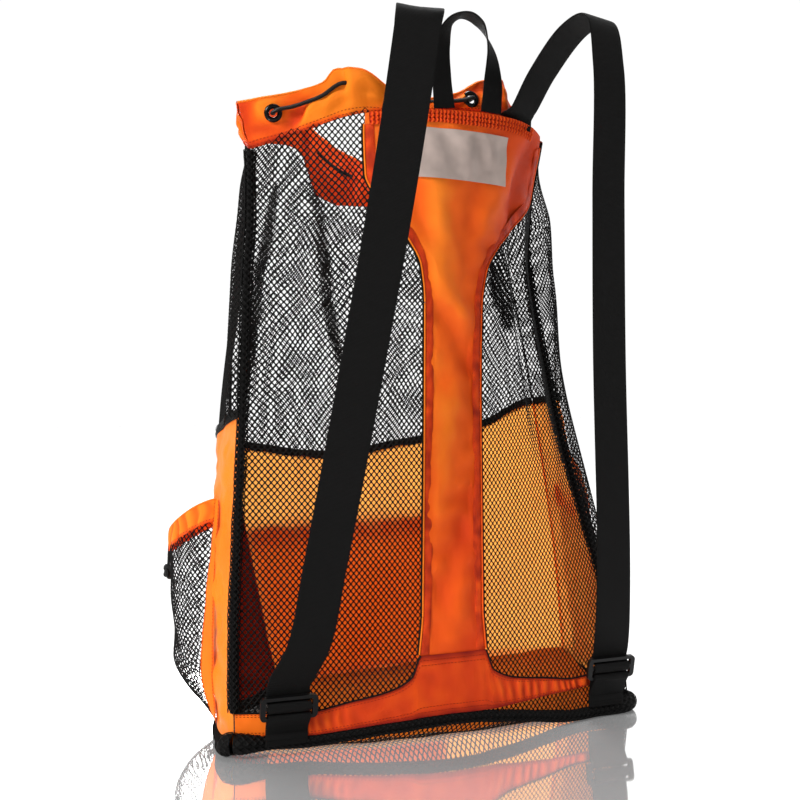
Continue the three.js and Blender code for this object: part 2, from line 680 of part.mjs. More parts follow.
function addPocket(side) {
  const top = (u) => column(POCKET_TOP, 'u', side, u);
  const pouch = cloth((u, v, skin) => {
    const z = THREE.MathUtils.lerp(top(u) - POCKET.hem - GAP, POCKET.low, v);
    return pocketPoint(side, u, z, skin * WALL);
  }, FACETS.pocketColumns, FACETS.pocketRows);
  add(`pocket_${side}`, pouch, MESH_BLACK);
  const hem = cloth((u, v, skin) => {
    const z = THREE.MathUtils.lerp(top(u) - POCKET.hem, top(u), v);
    return pocketPoint(side, u, z, skin * WALL);
  }, FACETS.pocketColumns, FACETS.hemRows);
  add(`pocket_hem_${side}`, hem, NYLON_ORANGE);
}

function addPocketEdge() {
  const top = column(POCKET_TOP, 'u', 'left', 1);
  const edge = cloth((u, v, skin) => {
    const t = THREE.MathUtils.lerp(POCKET_EDGE.from, POCKET_EDGE.to, u);
    const z = THREE.MathUtils.lerp(POCKET.low, top, v);
    const gusset = POCKET_GUSSET.left * pocketLift(z) * (1 - u);
    return wall('left', t, z / rimHeight('left', t), gusset + (skin ? OVERLAY_OUT : OVERLAY_IN));
  }, FACETS.edgeColumns, FACETS.pocketRows);
  add('pocket_edge_left', edge, NYLON_ORANGE);
}

function addPocketCord() {
  const knot = pocketPoint('left', POCKET_CORD.u, POCKET_CORD.knot, KNOT_DIAMETER / 2 + KNOT_CLEAR);
  const exit = pocketPoint('left', POCKET_CORD.u, POCKET_CORD.exit, POCKET_CORD.stand);
  const drop = exit.clone().sub(knot).normalize();
  const foot = knot.clone().addScaledVector(drop, KNOT_DIAMETER / 2 + GAP);
  const middle = exit.clone().lerp(foot, 0.5).add(new THREE.Vector3(-POCKET_CORD.sway, 0, 0));
  const cord = tube([exit, middle, foot], POCKET_CORD_DIAMETER, FACETS.pocketCordSteps);
  add('pocket_cord_left', cord, WEBBING_BLACK);
  const ball = new THREE.SphereGeometry(KNOT_DIAMETER / 2, 10, 8);
  ball.scale(1, 1, KNOT_SQUASH);
  add('pocket_knot_left', ball, WEBBING_BLACK).position.copy(knot);
}

// The collar stands off the rim along the line from the middle of the mouth
const MOUTH = new THREE.Vector2(-25, -40);

function collarPoint(at, up, out) {
  const round = ((at % 4) + 4) % 4;
  const side = SIDES[Math.floor(round)];
  const rim = surface(side, round % 1, 1);
  const away = new THREE.Vector2(rim.x - MOUTH.x, rim.y - MOUTH.y).normalize();
  const off = THREE.MathUtils.lerp(column(COLLAR, 'at', 'foot', round), column(COLLAR, 'at', 'lean', round), up);
  const z = THREE.MathUtils.lerp(rim.z + COLLAR_LIFT, column(COLLAR, 'at', 'top', round), up);
  return new THREE.Vector3(rim.x + away.x * (off + out), rim.y + away.y * (off + out), z);
}

function collarNormal(at, up) {
  const step = 0.02;
  const along = collarPoint(at + step, up, 0).sub(collarPoint(at - step, up, 0));
  const rise = collarPoint(at, up + step, 0).sub(collarPoint(at, up - step, 0));
  return along.cross(rise).normalize();
}

function addCollar() {
  const around = FACETS.collarColumns;
  const rows = FACETS.collarRows;
  const rings = [];
  for (let i = 0; i < around; i += 1) {
    const at = (4 * i) / around;
    const ring = [];
    for (let j = 0; j <= rows; j += 1) ring.push(collarPoint(at, j / rows, WALL / 2));
    for (let j = rows; j >= 0; j -= 1) ring.push(collarPoint(at, j / rows, -WALL / 2));
    rings.push(ring);
  }
  const punchRadius = GROMMET_HOLE / 2 + GROMMET_CLEAR;
  let body = solid(loft(rings, true));
  for (const [name, grommet] of Object.entries(GROMMETS)) {
    const normal = collarNormal(grommet.at, grommet.up);
    const place = collarPoint(grommet.at, grommet.up, 0);
    const turn = new THREE.Quaternion().setFromUnitVectors(new THREE.Vector3(0, 1, 0), normal);
    const punch = new THREE.CylinderGeometry(punchRadius, punchRadius, PUNCH_LENGTH, FACETS.punchSides);
    punch.applyQuaternion(turn).translate(place.x, place.y, place.z);
    body = body.subtract(solid(punch));
    addGrommet(`grommet_${name}`, place.clone().addScaledVector(normal, WALL / 2 + GROMMET_CLEAR), turn);
  }
  add('collar', fromSolid(body), NYLON_ORANGE);
}

function addGrommet(name, place, turn) {
  const inner = GROMMET_HOLE / 2;
  const outer = GROMMET_OUTER / 2;
  const profile = [
    new THREE.Vector2(inner, 0),
    new THREE.Vector2(outer, 0),
    new THREE.Vector2(outer, 0.5 * GROMMET_THICK),
    new THREE.Vector2(0.7 * outer + 0.3 * inner, GROMMET_THICK),
    new THREE.Vector2(inner, 0.7 * GROMMET_THICK),
    new THREE.Vector2(inner, 0),
  ];
  const ring = add(name, new THREE.LatheGeometry(profile, FACETS.roundSides), METAL_BLACK);
  ring.quaternion.copy(turn);
  ring.position.copy(place);
}

function addDrawcord() {
  const stand = (WALL + CORD_DIAMETER) / 2 + GAP;
  const points = [];
  const through = (grommet, out) => collarPoint(grommet.at, grommet.up, 0)
    .addScaledVector(collarNormal(grommet.at, grommet.up), out);
  points.push(through(GROMMETS.left, 0), through(GROMMETS.left, stand + CORD_RISE.left));
  for (const station of DRAWCORD) points.push(collarPoint(station.at, station.up, stand + station.lift));
  points.push(through(GROMMETS.right, stand + CORD_RISE.right), through(GROMMETS.right, 0));
  add('drawcord', tube(points, CORD_DIAMETER, FACETS.cordSteps), WEBBING_BLACK);
}

// Frame of a tab on the base band: across its webbing, straight out, and the plane that just touches the band
function tabFrame(strap) {
  const across = yawDirection(strap.yawFoot);
  const out = new THREE.Vector3(across.y, -across.x, 0);
  const seat = backPoint(strap.tabX, TAB.stemTop, 0).setZ(0);
  let reach = 0;
  for (let s = -0.5; s <= 0.5; s += 0.125) {
    const x = THREE.MathUtils.clamp(strap.tabX + s * TAB.width, -BAND_END.left, BAND_END.right);
    for (const z of [TAB.low, TAB.stemTop]) {
      reach = Math.max(reach, backPoint(x, z, OVERLAY_OUT).sub(seat).dot(out));
    }
  }
  return { seat: seat.addScaledVector(out, reach), out, across };
}

function buckleFrame(strap) {
  const { seat, out, across } = tabFrame(strap);
  const up = new THREE.Vector3(0, 0, Math.cos(BUCKLE_TILT)).addScaledVector(out, Math.sin(BUCKLE_TILT));
  const face = across.clone().cross(up);
  const middle = seat.clone().addScaledVector(out, BUCKLE_STAND).setZ(strap.buckleZ);
  return { middle, across, up, face };
}

function roundedRectangle(width, height, radius) {
  const shape = new THREE.Shape();
  const x = width / 2 - radius;
  const y = height / 2 - radius;
  shape.absarc(x, y, radius, 0, Math.PI / 2);
  shape.absarc(-x, y, radius, Math.PI / 2, Math.PI);
  shape.absarc(-x, -y, radius, Math.PI, 1.5 * Math.PI);
  shape.absarc(x, -y, radius, 1.5 * Math.PI, 2 * Math.PI);
  return shape;
}

function slotHole(width, low, high) {
  const hole = new THREE.Path();
  hole.moveTo(-width / 2, low);
  hole.lineTo(width / 2, low);
  hole.lineTo(width / 2, high);
  hole.lineTo(-width / 2, high);
  hole.closePath();
  return hole;
}

// Heights of the buckle's slots on its own up axis, from its middle
const BUCKLE_FOOT = -BUCKLE_HEIGHT / 2;
const LOW_SLOT = [BUCKLE_FOOT + BUCKLE.bar, BUCKLE_FOOT + BUCKLE.bar + BUCKLE.lowSlot];
const HIGH_SLOT = [LOW_SLOT[1] + BUCKLE.bar, LOW_SLOT[1] + BUCKLE.bar + BUCKLE.highSlot];

function addBuckle(name, strap) {
  const { middle, across, up, face } = buckleFrame(strap);
  const shape = roundedRectangle(BUCKLE.width, BUCKLE_HEIGHT, BUCKLE.corner);
  shape.holes.push(slotHole(BUCKLE.slot, ...LOW_SLOT), slotHole(BUCKLE.slot, ...HIGH_SLOT));
  const options = { depth: BUCKLE.thick, bevelEnabled: false, curveSegments: 4 };
  const geometry = new THREE.ExtrudeGeometry(shape, options).translate(0, 0, -BUCKLE.thick / 2);
  const buckle = add(name, geometry, PLASTIC_BLACK);
  buckle.quaternion.setFromRotationMatrix(new THREE.Matrix4().makeBasis(across, up, face));
  buckle.position.copy(middle);
}

// A folded tab of webbing: a stem sewn to the base band and a loop round the buckle's lowest bar
function addTab(name, strap) {
  const { seat, out, across } = tabFrame(strap);
  const barMiddle = BUCKLE_FOOT + BUCKLE.bar / 2;
  const loopOut = BUCKLE_STAND + barMiddle * Math.sin(BUCKLE_TILT);
  const loopZ = strap.buckleZ + barMiddle * Math.cos(BUCKLE_TILT);
  const radius = TAB.barClear + TAB.loop;
  const inner = GAP;
  const outer = inner + TAB.stemThick;
  const shape = new THREE.Shape();
  shape.moveTo(inner, TAB.low);
  shape.lineTo(outer, TAB.low + TAB.footBevel);
  shape.lineTo(outer, TAB.stemTop - TAB.headBevel);
  const { degToRad } = THREE.MathUtils;
  shape.absarc(loopOut, loopZ, radius, degToRad(TAB.loopFrom), degToRad(TAB.loopTo));
  shape.lineTo(inner, TAB.stemTop);
  shape.closePath();
  const hole = new THREE.Path();
  hole.absarc(loopOut, loopZ, TAB.barClear, 0, 2 * Math.PI);
  shape.holes.push(hole);
  const options = { depth: TAB.width, bevelEnabled: false, curveSegments: 5 };
  const geometry = new THREE.ExtrudeGeometry(shape, options).translate(0, 0, -TAB.width / 2);
  const tab = add(name, geometry, WEBBING_BLACK);
  const up = new THREE.Vector3(0, 0, 1);
  tab.quaternion.setFromRotationMatrix(new THREE.Matrix4().makeBasis(out, up, across.clone().negate()));
  tab.position.copy(seat);
}

// A strap: sewn end, long run over the top, then behind the buckle's top bar and over its middle bar
function addStrap(name, strap) {
  const stations = [];
  const count = strap.run.length + 1;
  const start = surface('back', backShare(strap.sewnX, 1), 1);
  const topAcross = yawDirection(strap.yawTop);
  const topOut = new THREE.Vector3(topAcross.y, -topAcross.x, 0);
  for (const { out, up } of SEWN_END) {
    stations.push({ point: start.clone().addScaledVector(topOut, out).setZ(start.z + up), across: topAcross });
  }
  strap.run.forEach(({ x, y, z }, i) => {
    const yaw = THREE.MathUtils.lerp(strap.yawTop, strap.yawFoot, (i + 1) / count);
    stations.push({ point: new THREE.Vector3(x, y, z), across: yawDirection(yaw) });
  });
  const { middle, across, up, face } = buckleFrame(strap);
  const slotMiddle = (slot) => (slot[0] + slot[1]) / 2;
  const half = BUCKLE.thick / 2;
  const threading = [
    { rise: BUCKLE_HEIGHT / 2 + THREAD.lead, forward: THREAD.leadIn - THREAD.behind - half },
    { rise: BUCKLE_HEIGHT / 2 - THREAD.bend, forward: -THREAD.behind - half },
    { rise: slotMiddle(HIGH_SLOT), forward: THREAD.slotBack - half },
    { rise: slotMiddle(HIGH_SLOT), forward: half },
    { rise: (HIGH_SLOT[0] + LOW_SLOT[1]) / 2, forward: half + THREAD.before },
    { rise: LOW_SLOT[1] - THREAD.tailFront, forward: half },
    { rise: LOW_SLOT[1] - THREAD.tailBack, forward: -half },
  ];
  for (const { rise, forward } of threading) {
    const point = middle.clone().addScaledVector(up, rise).addScaledVector(face, forward);
    stations.push({ point, across });
  }
  add(name, ribbon(stations, STRAP_WIDTH, STRAP_THICK, FACETS.strapSteps), WEBBING_BLACK);
}

function addHaulLoop() {
  const stations = HAUL_LOOP.map(({ x, out, z, yaw }) => {
    const foot = surface('back', backShare(x, 1), 1);
    return { point: new THREE.Vector3(x, foot.y - out, z), across: yawDirection(yaw) };
  });
  add('haul_loop', ribbon(stations, LOOP_WIDTH, STRAP_THICK, FACETS.loopSteps), WEBBING_BLACK);
}

addBase();
addWalls();
addCornerSeams();
addBackTrim();
for (const side of ['left', 'right']) addPocket(side);
addPocketEdge();
addPocketCord();
addCollar();
addDrawcord();
for (const [side, strap] of Object.entries(STRAPS)) {
  addTab(`strap_tab_${side}`, strap);
  addBuckle(`buckle_${side}`, strap);
  addStrap(`strap_${side}`, strap);
}
addHaulLoop();

export default backpack;
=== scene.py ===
"""Looks of the mesh backpack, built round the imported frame. Metres, +Z up, in the frame of the solids."""

import math

import bpy
import numpy as np
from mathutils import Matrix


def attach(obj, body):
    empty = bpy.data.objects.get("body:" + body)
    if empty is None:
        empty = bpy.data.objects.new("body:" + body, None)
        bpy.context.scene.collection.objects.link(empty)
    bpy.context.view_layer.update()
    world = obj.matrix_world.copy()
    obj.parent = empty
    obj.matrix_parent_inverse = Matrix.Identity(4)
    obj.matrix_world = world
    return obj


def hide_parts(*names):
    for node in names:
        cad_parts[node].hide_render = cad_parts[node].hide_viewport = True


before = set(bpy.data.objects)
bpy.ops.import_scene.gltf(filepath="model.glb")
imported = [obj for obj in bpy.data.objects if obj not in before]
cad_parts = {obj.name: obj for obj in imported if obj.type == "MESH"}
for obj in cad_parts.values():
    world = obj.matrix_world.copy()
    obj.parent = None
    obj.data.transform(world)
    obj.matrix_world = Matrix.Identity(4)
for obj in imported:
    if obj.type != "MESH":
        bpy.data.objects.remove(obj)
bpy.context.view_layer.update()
BODY = "root"


def table(names, *rows):
    """Columns of a short table of numbers, by name."""
    return dict(zip(names.split(), np.array(rows, float).T))


def records(names, *rows):
    """Rows of a short table, each with named values."""
    return [dict(zip(names.split(), row)) for row in rows]


# Horizontal sections of the bag, as in the solids. h is the height as a share of the rim's height. Corners
# are back left (bl), back right (br), front right (fr) and front left (fl), backY is where the back stands on
# the spine's axis, and the Out columns say how far a wall bulges past the line between its corners.
SECTIONS = table(
    "h blX blY backY brX brY rightOut frX frY frontOut flX flY leftOut",
    (0.00, -0.190, -0.080, -0.117, 0.195, -0.100, 0.006, 0.238, 0.076, 0.028, -0.096, 0.076, 0.036),
    (0.12, -0.190, -0.077, -0.117, 0.192, -0.090, 0.010, 0.234, 0.080, 0.030, -0.112, 0.080, 0.033),
    (0.55, -0.180, -0.073, -0.117, 0.157, -0.028, 0.018, 0.200, 0.080, 0.024, -0.148, 0.080, 0.014),
    (0.79, -0.176, -0.074, -0.121, 0.135, -0.017, 0.038, 0.168, 0.072, 0.016, -0.143, 0.072, 0.004),
    (0.90, -0.173, -0.075, -0.129, 0.129, -0.031, 0.038, 0.144, 0.058, 0.008, -0.138, 0.062, 0.003),
    (1.00, -0.173, -0.075, -0.136, 0.107, -0.088, 0.012, 0.100, 0.038, 0.004, -0.136, 0.052, 0.004),
)

# The rim and the collar on it, going round from the back left corner. at counts the sides passed.
COLLAR = table(
    "at rim top foot lean",
    (0.00, 0.519, 0.558, -0.0012, 0.012),
    (0.09, 0.532, 0.567, -0.0012, 0.004),
    (0.15, 0.541, 0.574, -0.0012, 0.006),
    (0.18, 0.545, 0.585, -0.0012, 0.009),
    (0.23, 0.550, 0.584, -0.0030, 0.005),
    (0.30, 0.552, 0.570, -0.0055, -0.003),
    (0.40, 0.555, 0.566, -0.0065, -0.008),
    (0.50, 0.556, 0.572, -0.0065, -0.009),
    (0.60, 0.556, 0.585, -0.0065, -0.011),
    (0.73, 0.555, 0.591, -0.0065, -0.015),
    (0.82, 0.553, 0.577, -0.0060, -0.020),
    (1.00, 0.545, 0.557, -0.0020, -0.024),
    (1.50, 0.532, 0.556, -0.0012, -0.016),
    (2.00, 0.520, 0.553, -0.0012, -0.005),
    (2.45, 0.495, 0.538, -0.0012, 0.000),
    (2.60, 0.495, 0.549, -0.0012, 0.000),
    (2.71, 0.504, 0.565, -0.0012, 0.000),
    (2.78, 0.543, 0.581, -0.0012, 0.000),
    (2.85, 0.551, 0.589, -0.0012, 0.000),
    (3.00, 0.551, 0.588, -0.0012, 0.000),
    (3.50, 0.536, 0.571, -0.0012, 0.005),
    (4.00, 0.519, 0.558, -0.0012, 0.012),
)
COLLAR_LIFT = 0.0009
MOUTH = (-0.025, -0.040)

# Soft folds of the walls: a ridge (out above 0) or hollow whose middle runs from t = low at h = start to
# t = high at h = end. width is its half width as a share of the side. The finer ones after the gap are in the
# looks only.
FOLDS = records(
    "side low high start end width out",
    ("back", 0.06, 0.13, 0.52, 0.98, 0.035, 0.006),
    ("back", 0.20, 0.11, 0.45, 0.98, 0.04, -0.007),
    ("back", 0.86, 0.76, 0.42, 0.92, 0.04, -0.008),
    ("back", 0.93, 0.86, 0.40, 0.92, 0.035, 0.006),
    ("right", 0.40, 0.50, 0.45, 0.98, 0.12, -0.006),
    ("front", 0.30, 0.36, 0.40, 0.98, 0.06, -0.007),
    ("front", 0.70, 0.62, 0.40, 0.98, 0.06, 0.007),
    ("left", 0.60, 0.50, 0.45, 0.98, 0.14, -0.005),

    ("back", 0.26, 0.17, 0.50, 0.99, 0.014, 0.004),
    ("back", 0.32, 0.20, 0.55, 0.99, 0.012, -0.004),
    ("back", 0.36, 0.25, 0.40, 0.90, 0.016, 0.004),
    ("back", 0.80, 0.73, 0.45, 0.85, 0.012, 0.004),
    ("front", 0.45, 0.50, 0.30, 0.98, 0.03, 0.004),
    ("front", 0.55, 0.56, 0.10, 0.98, 0.03, -0.004),
    ("front", 0.82, 0.80, 0.10, 0.98, 0.03, -0.004),
    ("front", 0.18, 0.22, 0.10, 0.98, 0.03, 0.004),
)
FOLD_FADE = 12

# How far the nets of the side walls swell close to the back seams, by height, and how far from the seam as a
# share of the side
PUFF = table(
    "h left right",
    (0.00, 0.000, 0.000),
    (0.15, 0.000, 0.008),
    (0.45, 0.004, 0.013),
    (0.60, 0.012, 0.010),
    (0.80, 0.012, 0.002),
    (0.93, 0.008, 0.000),
    (1.00, 0.000, 0.000),
)
PUFF_REACH = {"left": 0.07, "right": 0.09}

# Reach of the spine panel to the left and right of its axis, by height
SPINE = table(
    "z left right",
    (0.081, 0.032, 0.032),
    (0.120, 0.029, 0.029),
    (0.300, 0.029, 0.029),
    (0.390, 0.030, 0.030),
    (0.422, 0.034, 0.036),
    (0.444, 0.046, 0.052),
    (0.477, 0.074, 0.092),
    (0.498, 0.084, 0.112),
    (0.525, 0.085, 0.107),
    (0.558, 0.084, 0.093),
)

# Lower and upper edge of the band along the foot of the back, by distance from the spine's axis
BASE_BAND = table(
    "x low high",
    (0.000, 0.026, 0.080),
    (0.031, 0.025, 0.080),
    (0.040, 0.024, 0.061),
    (0.060, 0.023, 0.051),
    (0.095, 0.020, 0.044),
    (0.134, 0.017, 0.037),
    (0.186, 0.018, 0.038),
)
BAND_END = {"left": -0.189, "right": 0.192}
BAND_CLIMB = {"from": 0.015, "to": 0.145, "low": 0.014, "high": 0.004, "roll": 0.006}

# Top of the nylon bucket, going round as in the collar's table
BUCKET = table(
    "at top",
    (1.00, 0.305),
    (2.00, 0.297),
    (2.17, 0.272),
    (2.44, 0.253),
    (2.69, 0.243),
    (3.00, 0.258),
    (4.00, 0.296),
)
BINDING = {"height": 0.009, "thick": 0.0030, "off": 0.0010, "end": 0.002, "tuck": 0.003,
           "stitchRow": 0.0028, "stitchOff": 0.0024, "uneven": 0.0002}

SHIRRED = {"low": 0.544, "high": 0.555, "left": -0.081, "right": 0.080, "off": 0.0030, "gather": 0.0036,
           "relief": 0.0009, "channel": 0.0006, "channels": (0.33, 0.66), "channelWidth": 0.05}
PATCH = {"low": 0.497, "high": 0.539, "left": -0.044, "right": 0.048, "off": 0.0034, "fold": 0.0011,
         "foldWidth": 0.033, "crumple": 0.0005}
FRONT_POCKET = {"low": 0.012, "high": 0.175, "hem": 0.024, "right": 0.105, "seamClear": 0.0003,
                "off": 0.0052, "belly": 0.0015, "crumple": 0.0008}

# Side pockets. Shares run along the wall from its front corner, heights from the front edge to the back edge.
POCKET = {"front": 0.12, "low": 0.015, "hem": 0.020, "taper": 0.055, "fullness": 0.8, "off": 0.0009,
          "fold": 0.0020, "highest": 0.225, "hemTuck": 0.003}
POCKET_HEM = {"outer": 0.0005, "inner": -0.0012, "edge": -0.0003, "edgeRadius": 0.0010, "stand": 0.0006,
              "gather": 0.0013, "gathers": 13}
POCKET_BACK = {"left": 0.715, "right": 0.68}
POCKET_BULGE = {"left": 0.040, "right": 0.012}
POCKET_GUSSET = {"left": 0.013, "right": 0.0015}
GUSSET_REACH = 6
GUSSET_FADE = {"from": 0.03, "over": 0.16, "share": 0.15}
POCKET_TOP = table("u left right", (0.0, 0.204, 0.204), (0.5, 0.182, 0.190), (1.0, 0.216, 0.240))
POCKET_EDGE = {"t": (0.710, 0.755), "off": 0.0012, "swell": 0.0006, "crumple": 0.0004}
POCKET_CLOTH = {"left": 0.135, "right": 0.165}
POCKET_CORD = {"u": 0.42, "exit": 0.176, "knot": 0.141, "stand": 0.0032, "diameter": 0.003}
CORD_SAG = {"upper": (-0.0006, 0, 0), "middle": (-0.0008, 0, 0.0006)}
KNOT = {"diameter": 0.011, "stand": 0.0030, "radius": 0.0040, "wave": 0.0016, "depth": 0.0020,
        "strand": 0.0023}

# Buckles: bars and slots counted up from the foot, along the buckle's own height
BUCKLE = {"bar": 0.003, "lowSlot": 0.0065, "highSlot": 0.0055, "thick": 0.004}
BUCKLE_HEIGHT = 3 * BUCKLE["bar"] + BUCKLE["lowSlot"] + BUCKLE["highSlot"]
BUCKLE_TILT = math.radians(11)
BUCKLE_STAND = 0.010
TAB = {"low": 0.012, "stemTop": 0.027, "width": 0.037, "thick": 0.0014, "radius": 0.0036,
       "between": (-0.178, 0.183), "clear": 0.0019, "stitchOut": 0.0035,
       "stitchRows": (0.0135, 0.0165, 0.0225)}

# Straps: station by station from the sewn end over the top and down; the last run goes into the buckle
STRAP_WIDTH = 0.038
STRAP_THICK = 0.0016
SEWN_END = records("out up turn", (-0.0040, -0.005, 0.1), (0.0000, 0.0020, 0.5), (0.006, 0.007, 1.0))
STRAPS = {
    "left": {
        "tabX": -0.149, "buckleZ": 0.046, "sewnX": -0.053, "yawTop": -7, "yawFoot": -4,
        "run": [
            (-0.059, -0.158, 0.579),
            (-0.070, -0.194, 0.610),
            (-0.079, -0.217, 0.610),
            (-0.085, -0.217, 0.570),
            (-0.092, -0.198, 0.480),
            (-0.110, -0.161, 0.306),
            (-0.128, -0.135, 0.165),
            (-0.137, -0.122, 0.100),
        ],
    },
    "right": {
        "tabX": 0.166, "buckleZ": 0.050, "sewnX": 0.059, "yawTop": 27, "yawFoot": -2,
        "run": [
            (0.072, -0.148, 0.592),
            (0.084, -0.181, 0.623),
            (0.091, -0.208, 0.626),
            (0.097, -0.213, 0.587),
            (0.112, -0.192, 0.480),
            (0.130, -0.168, 0.345),
            (0.152, -0.144, 0.164),
            (0.159, -0.133, 0.105),
        ],
    },
}
LOOP_WIDTH = 0.020
HAUL_LOOP = records(
    "x out z yaw",
    (-0.018, 0.0013, 0.5563, 0),
    (-0.021, 0.003, 0.582, 12),
    (-0.022, 0.007, 0.612, 25),
    (-0.015, 0.009, 0.629, 55),
    (-0.002, 0.009, 0.635, 82),
    (0.011, 0.009, 0.629, 76),
    (0.023, 0.007, 0.609, 44),
    (0.028, 0.003, 0.582, 10),
    (0.027, 0.0013, 0.5563, 0),
)

# Grommets by their share of the way round and up the collar, and the drawcord's stations between them
GROMMETS = {"left": (0.05, 0.62), "right": (0.55, 0.5)}
GROMMET_HOLE = 0.004
GROMMET_STAND = 0.0009
CORD_DIAMETER = 0.0035
CORD_RISE = {"left": 0.0054, "right": 0.0032}
CORD_STAND = 0.00265
CORD_TUCK = 0.002
DRAWCORD = records(
    "at up lift",
    (0.07, 0.62, 0.0037),
    (0.09, 0.62, 0.0016),
    (0.12, 0.64, 0.0008),
    (0.15, 0.66, 0.0006),
    (0.19, 0.68, 0.0006),
    (0.23, 0.66, -0.0030),
    (0.28, 0.70, -0.0060),
    (0.36, 0.70, -0.0060),
    (0.44, 0.65, -0.0010),
    (0.51, 0.55, 0.0026),
)

SEAM_RADIUS = 0.0052
FRONT_SEAM = 0.0020
PLAIN_SEAM = 0.0012
BASE_ROLL = 0.0052
WALL_FOOT = 0.0095

# The net: width and height of a hole's repeat, and the strand between two holes
NET_WIDE = 0.0048
NET_TALL = 0.0061
STRAND = 0.00098
STRAND_RISE = 0.0003
NET_FOOT = 0.006
NET_RISE = {"back": (NET_FOOT, 0.557), "front": (0.235, 0.556), "side": (NET_FOOT, 0.556)}

SIDES = ["back", "right", "front", "left"]
CORNERS = ["bl", "br", "fr", "fl"]
RUN = {"back": (0, 1), "right": (1, 1), "front": (0, -1), "left": (1, -1)}
LEVEL_PASSES = 4
HALVINGS = 18


def unit(vectors):
    return vectors / np.maximum(np.linalg.norm(vectors, axis=-1, keepdims=True), 1e-12)


def mix(a, b, share):
    return a + (b - a) * share


def clamp(values):
    return np.clip(values, 0, 1)


def arch(share):
    """A bow from 0 up to 1 and back to 0 over shares from 0 to 1."""
    return np.sin(np.pi * share)


def bell(reach):
    return np.exp(-reach ** 2)


def distances(path):
    """Distances of a path's points from its start, along the path."""
    return np.concatenate([[0], np.cumsum(np.linalg.norm(np.diff(path, axis=0), axis=-1))])


def along_path(values, steps, place):
    """Values that belong to a path's points, at places along it."""
    return np.stack([np.interp(place, steps, values[:, k]) for k in range(3)], -1)


def hermite(a, b, slope_a, slope_b, s):
    """Cubic between two values with slopes, at shares s."""
    return ((2 * s ** 3 - 3 * s ** 2 + 1) * a + (s ** 3 - 2 * s ** 2 + s) * slope_a
            + (3 * s ** 2 - 2 * s ** 3) * b + (s ** 3 - s ** 2) * slope_b)


def column(rows, key, name, place):
    """Smooth value of one column of a table at places along another, with no overshoot between rows."""
    keys, values = rows[key], rows[name]
    slopes = np.diff(values) / np.diff(keys)
    before, after = slopes[:-1], slopes[1:]
    same = before * after > 0
    inner = np.where(same, 2 * before * after / np.where(same, before + after, 1), 0)
    tangents = np.concatenate([slopes[:1], inner, slopes[-1:]])
    place = np.clip(place, keys[0], keys[-1])
    i = np.clip(np.searchsorted(keys, place) - 1, 0, len(keys) - 2)
    span = keys[i + 1] - keys[i]
    s = (place - keys[i]) / span
    return hermite(values[i], values[i + 1], span * tangents[i], span * tangents[i + 1], s)


def corner(index, h):
    name = CORNERS[index % 4]
    return column(SECTIONS, "h", name + "X", h), column(SECTIONS, "h", name + "Y", h)


def rim_height(side, t):
    return column(COLLAR, "at", "rim", SIDES.index(side) + np.asarray(t, float))


def bucket_top(side, t):
    return column(BUCKET, "at", "top", SIDES.index(side) + np.asarray(t, float))


def fold_offset(side, t, h):
    total = np.zeros(np.broadcast(t, h).shape)
    for fold in FOLDS:
        if fold["side"] != side:
            continue
        along = (h - fold["start"]) / (fold["end"] - fold["start"])
        across = (t - mix(fold["low"], fold["high"], along)) / fold["width"]
        total = total + fold["out"] * bell(across) * arch(clamp(along))
    return total * np.minimum(1, FOLD_FADE * t * (1 - t))


def puff(side, t, h):
    near = (t if side == "right" else 1 - t) / PUFF_REACH[side]
    return column(PUFF, "h", side, h) * near * np.exp(1 - near)


def surface(side, t, h):
    """Points of the bag's middle surface: side, share t along it, share h of the rim's height."""
    t, h = np.asarray(t, float), np.asarray(h, float)
    index = SIDES.index(side)
    ax, ay = corner(index, h)
    bx, by = corner(index + 1, h)
    length = np.hypot(bx - ax, by - ay)
    bulge = fold_offset(side, t, h)
    z = h * rim_height(side, t)
    if side == "back":
        first, last = 2 * (t - 0.5) * (t - 1), 2 * t * (t - 0.5)
        x = ax * first + bx * last
        y = ay * first + column(SECTIONS, "h", "backY", h) * 4 * t * (1 - t) + by * last
    else:
        bulge = bulge + column(SECTIONS, "h", side + "Out", h) * 4 * t * (1 - t)
        x, y = mix(ax, bx, t), mix(ay, by, t)
    x = x + (by - ay) / length * bulge
    y = y - (bx - ax) / length * bulge
    return np.stack(np.broadcast_arrays(x, y, z), -1)


def wall_normal(side, t, h):
    step = 0.01
    along = surface(side, np.minimum(t + step, 1), h) - surface(side, np.maximum(t - step, 0), h)
    up = surface(side, t, np.minimum(h + step, 1)) - surface(side, t, np.maximum(h - step, 0))
    return unit(np.cross(along, up))


def wall(side, t, h, off):
    """Points standing off the wall by a distance along its outward normal."""
    return surface(side, t, h) + wall_normal(side, t, h) * off


def share_at(side, run, z):
    """Share along a side where a level line at the height z has gone as far as run."""
    axis, sense = RUN[side]
    run, z = np.broadcast_arrays(np.asarray(run, float), np.asarray(z, float))
    t = np.full(run.shape, 0.5)
    for _ in range(LEVEL_PASSES):
        h = z / rim_height(side, t)
        low, high = np.zeros(run.shape), np.ones(run.shape)
        for _ in range(HALVINGS):
            middle = (low + high) / 2
            short = sense * surface(side, middle, h)[..., axis] < run
            low, high = np.where(short, middle, low), np.where(short, high, middle)
        t = (low + high) / 2
    return t


def wall_at(side, run, z, off=0.0):
    """Points of a wall by the distance along its side and the height."""
    t = share_at(side, run, z)
    return wall(side, t, z / rim_height(side, t), off)


RIPPLE_WAVES = 7


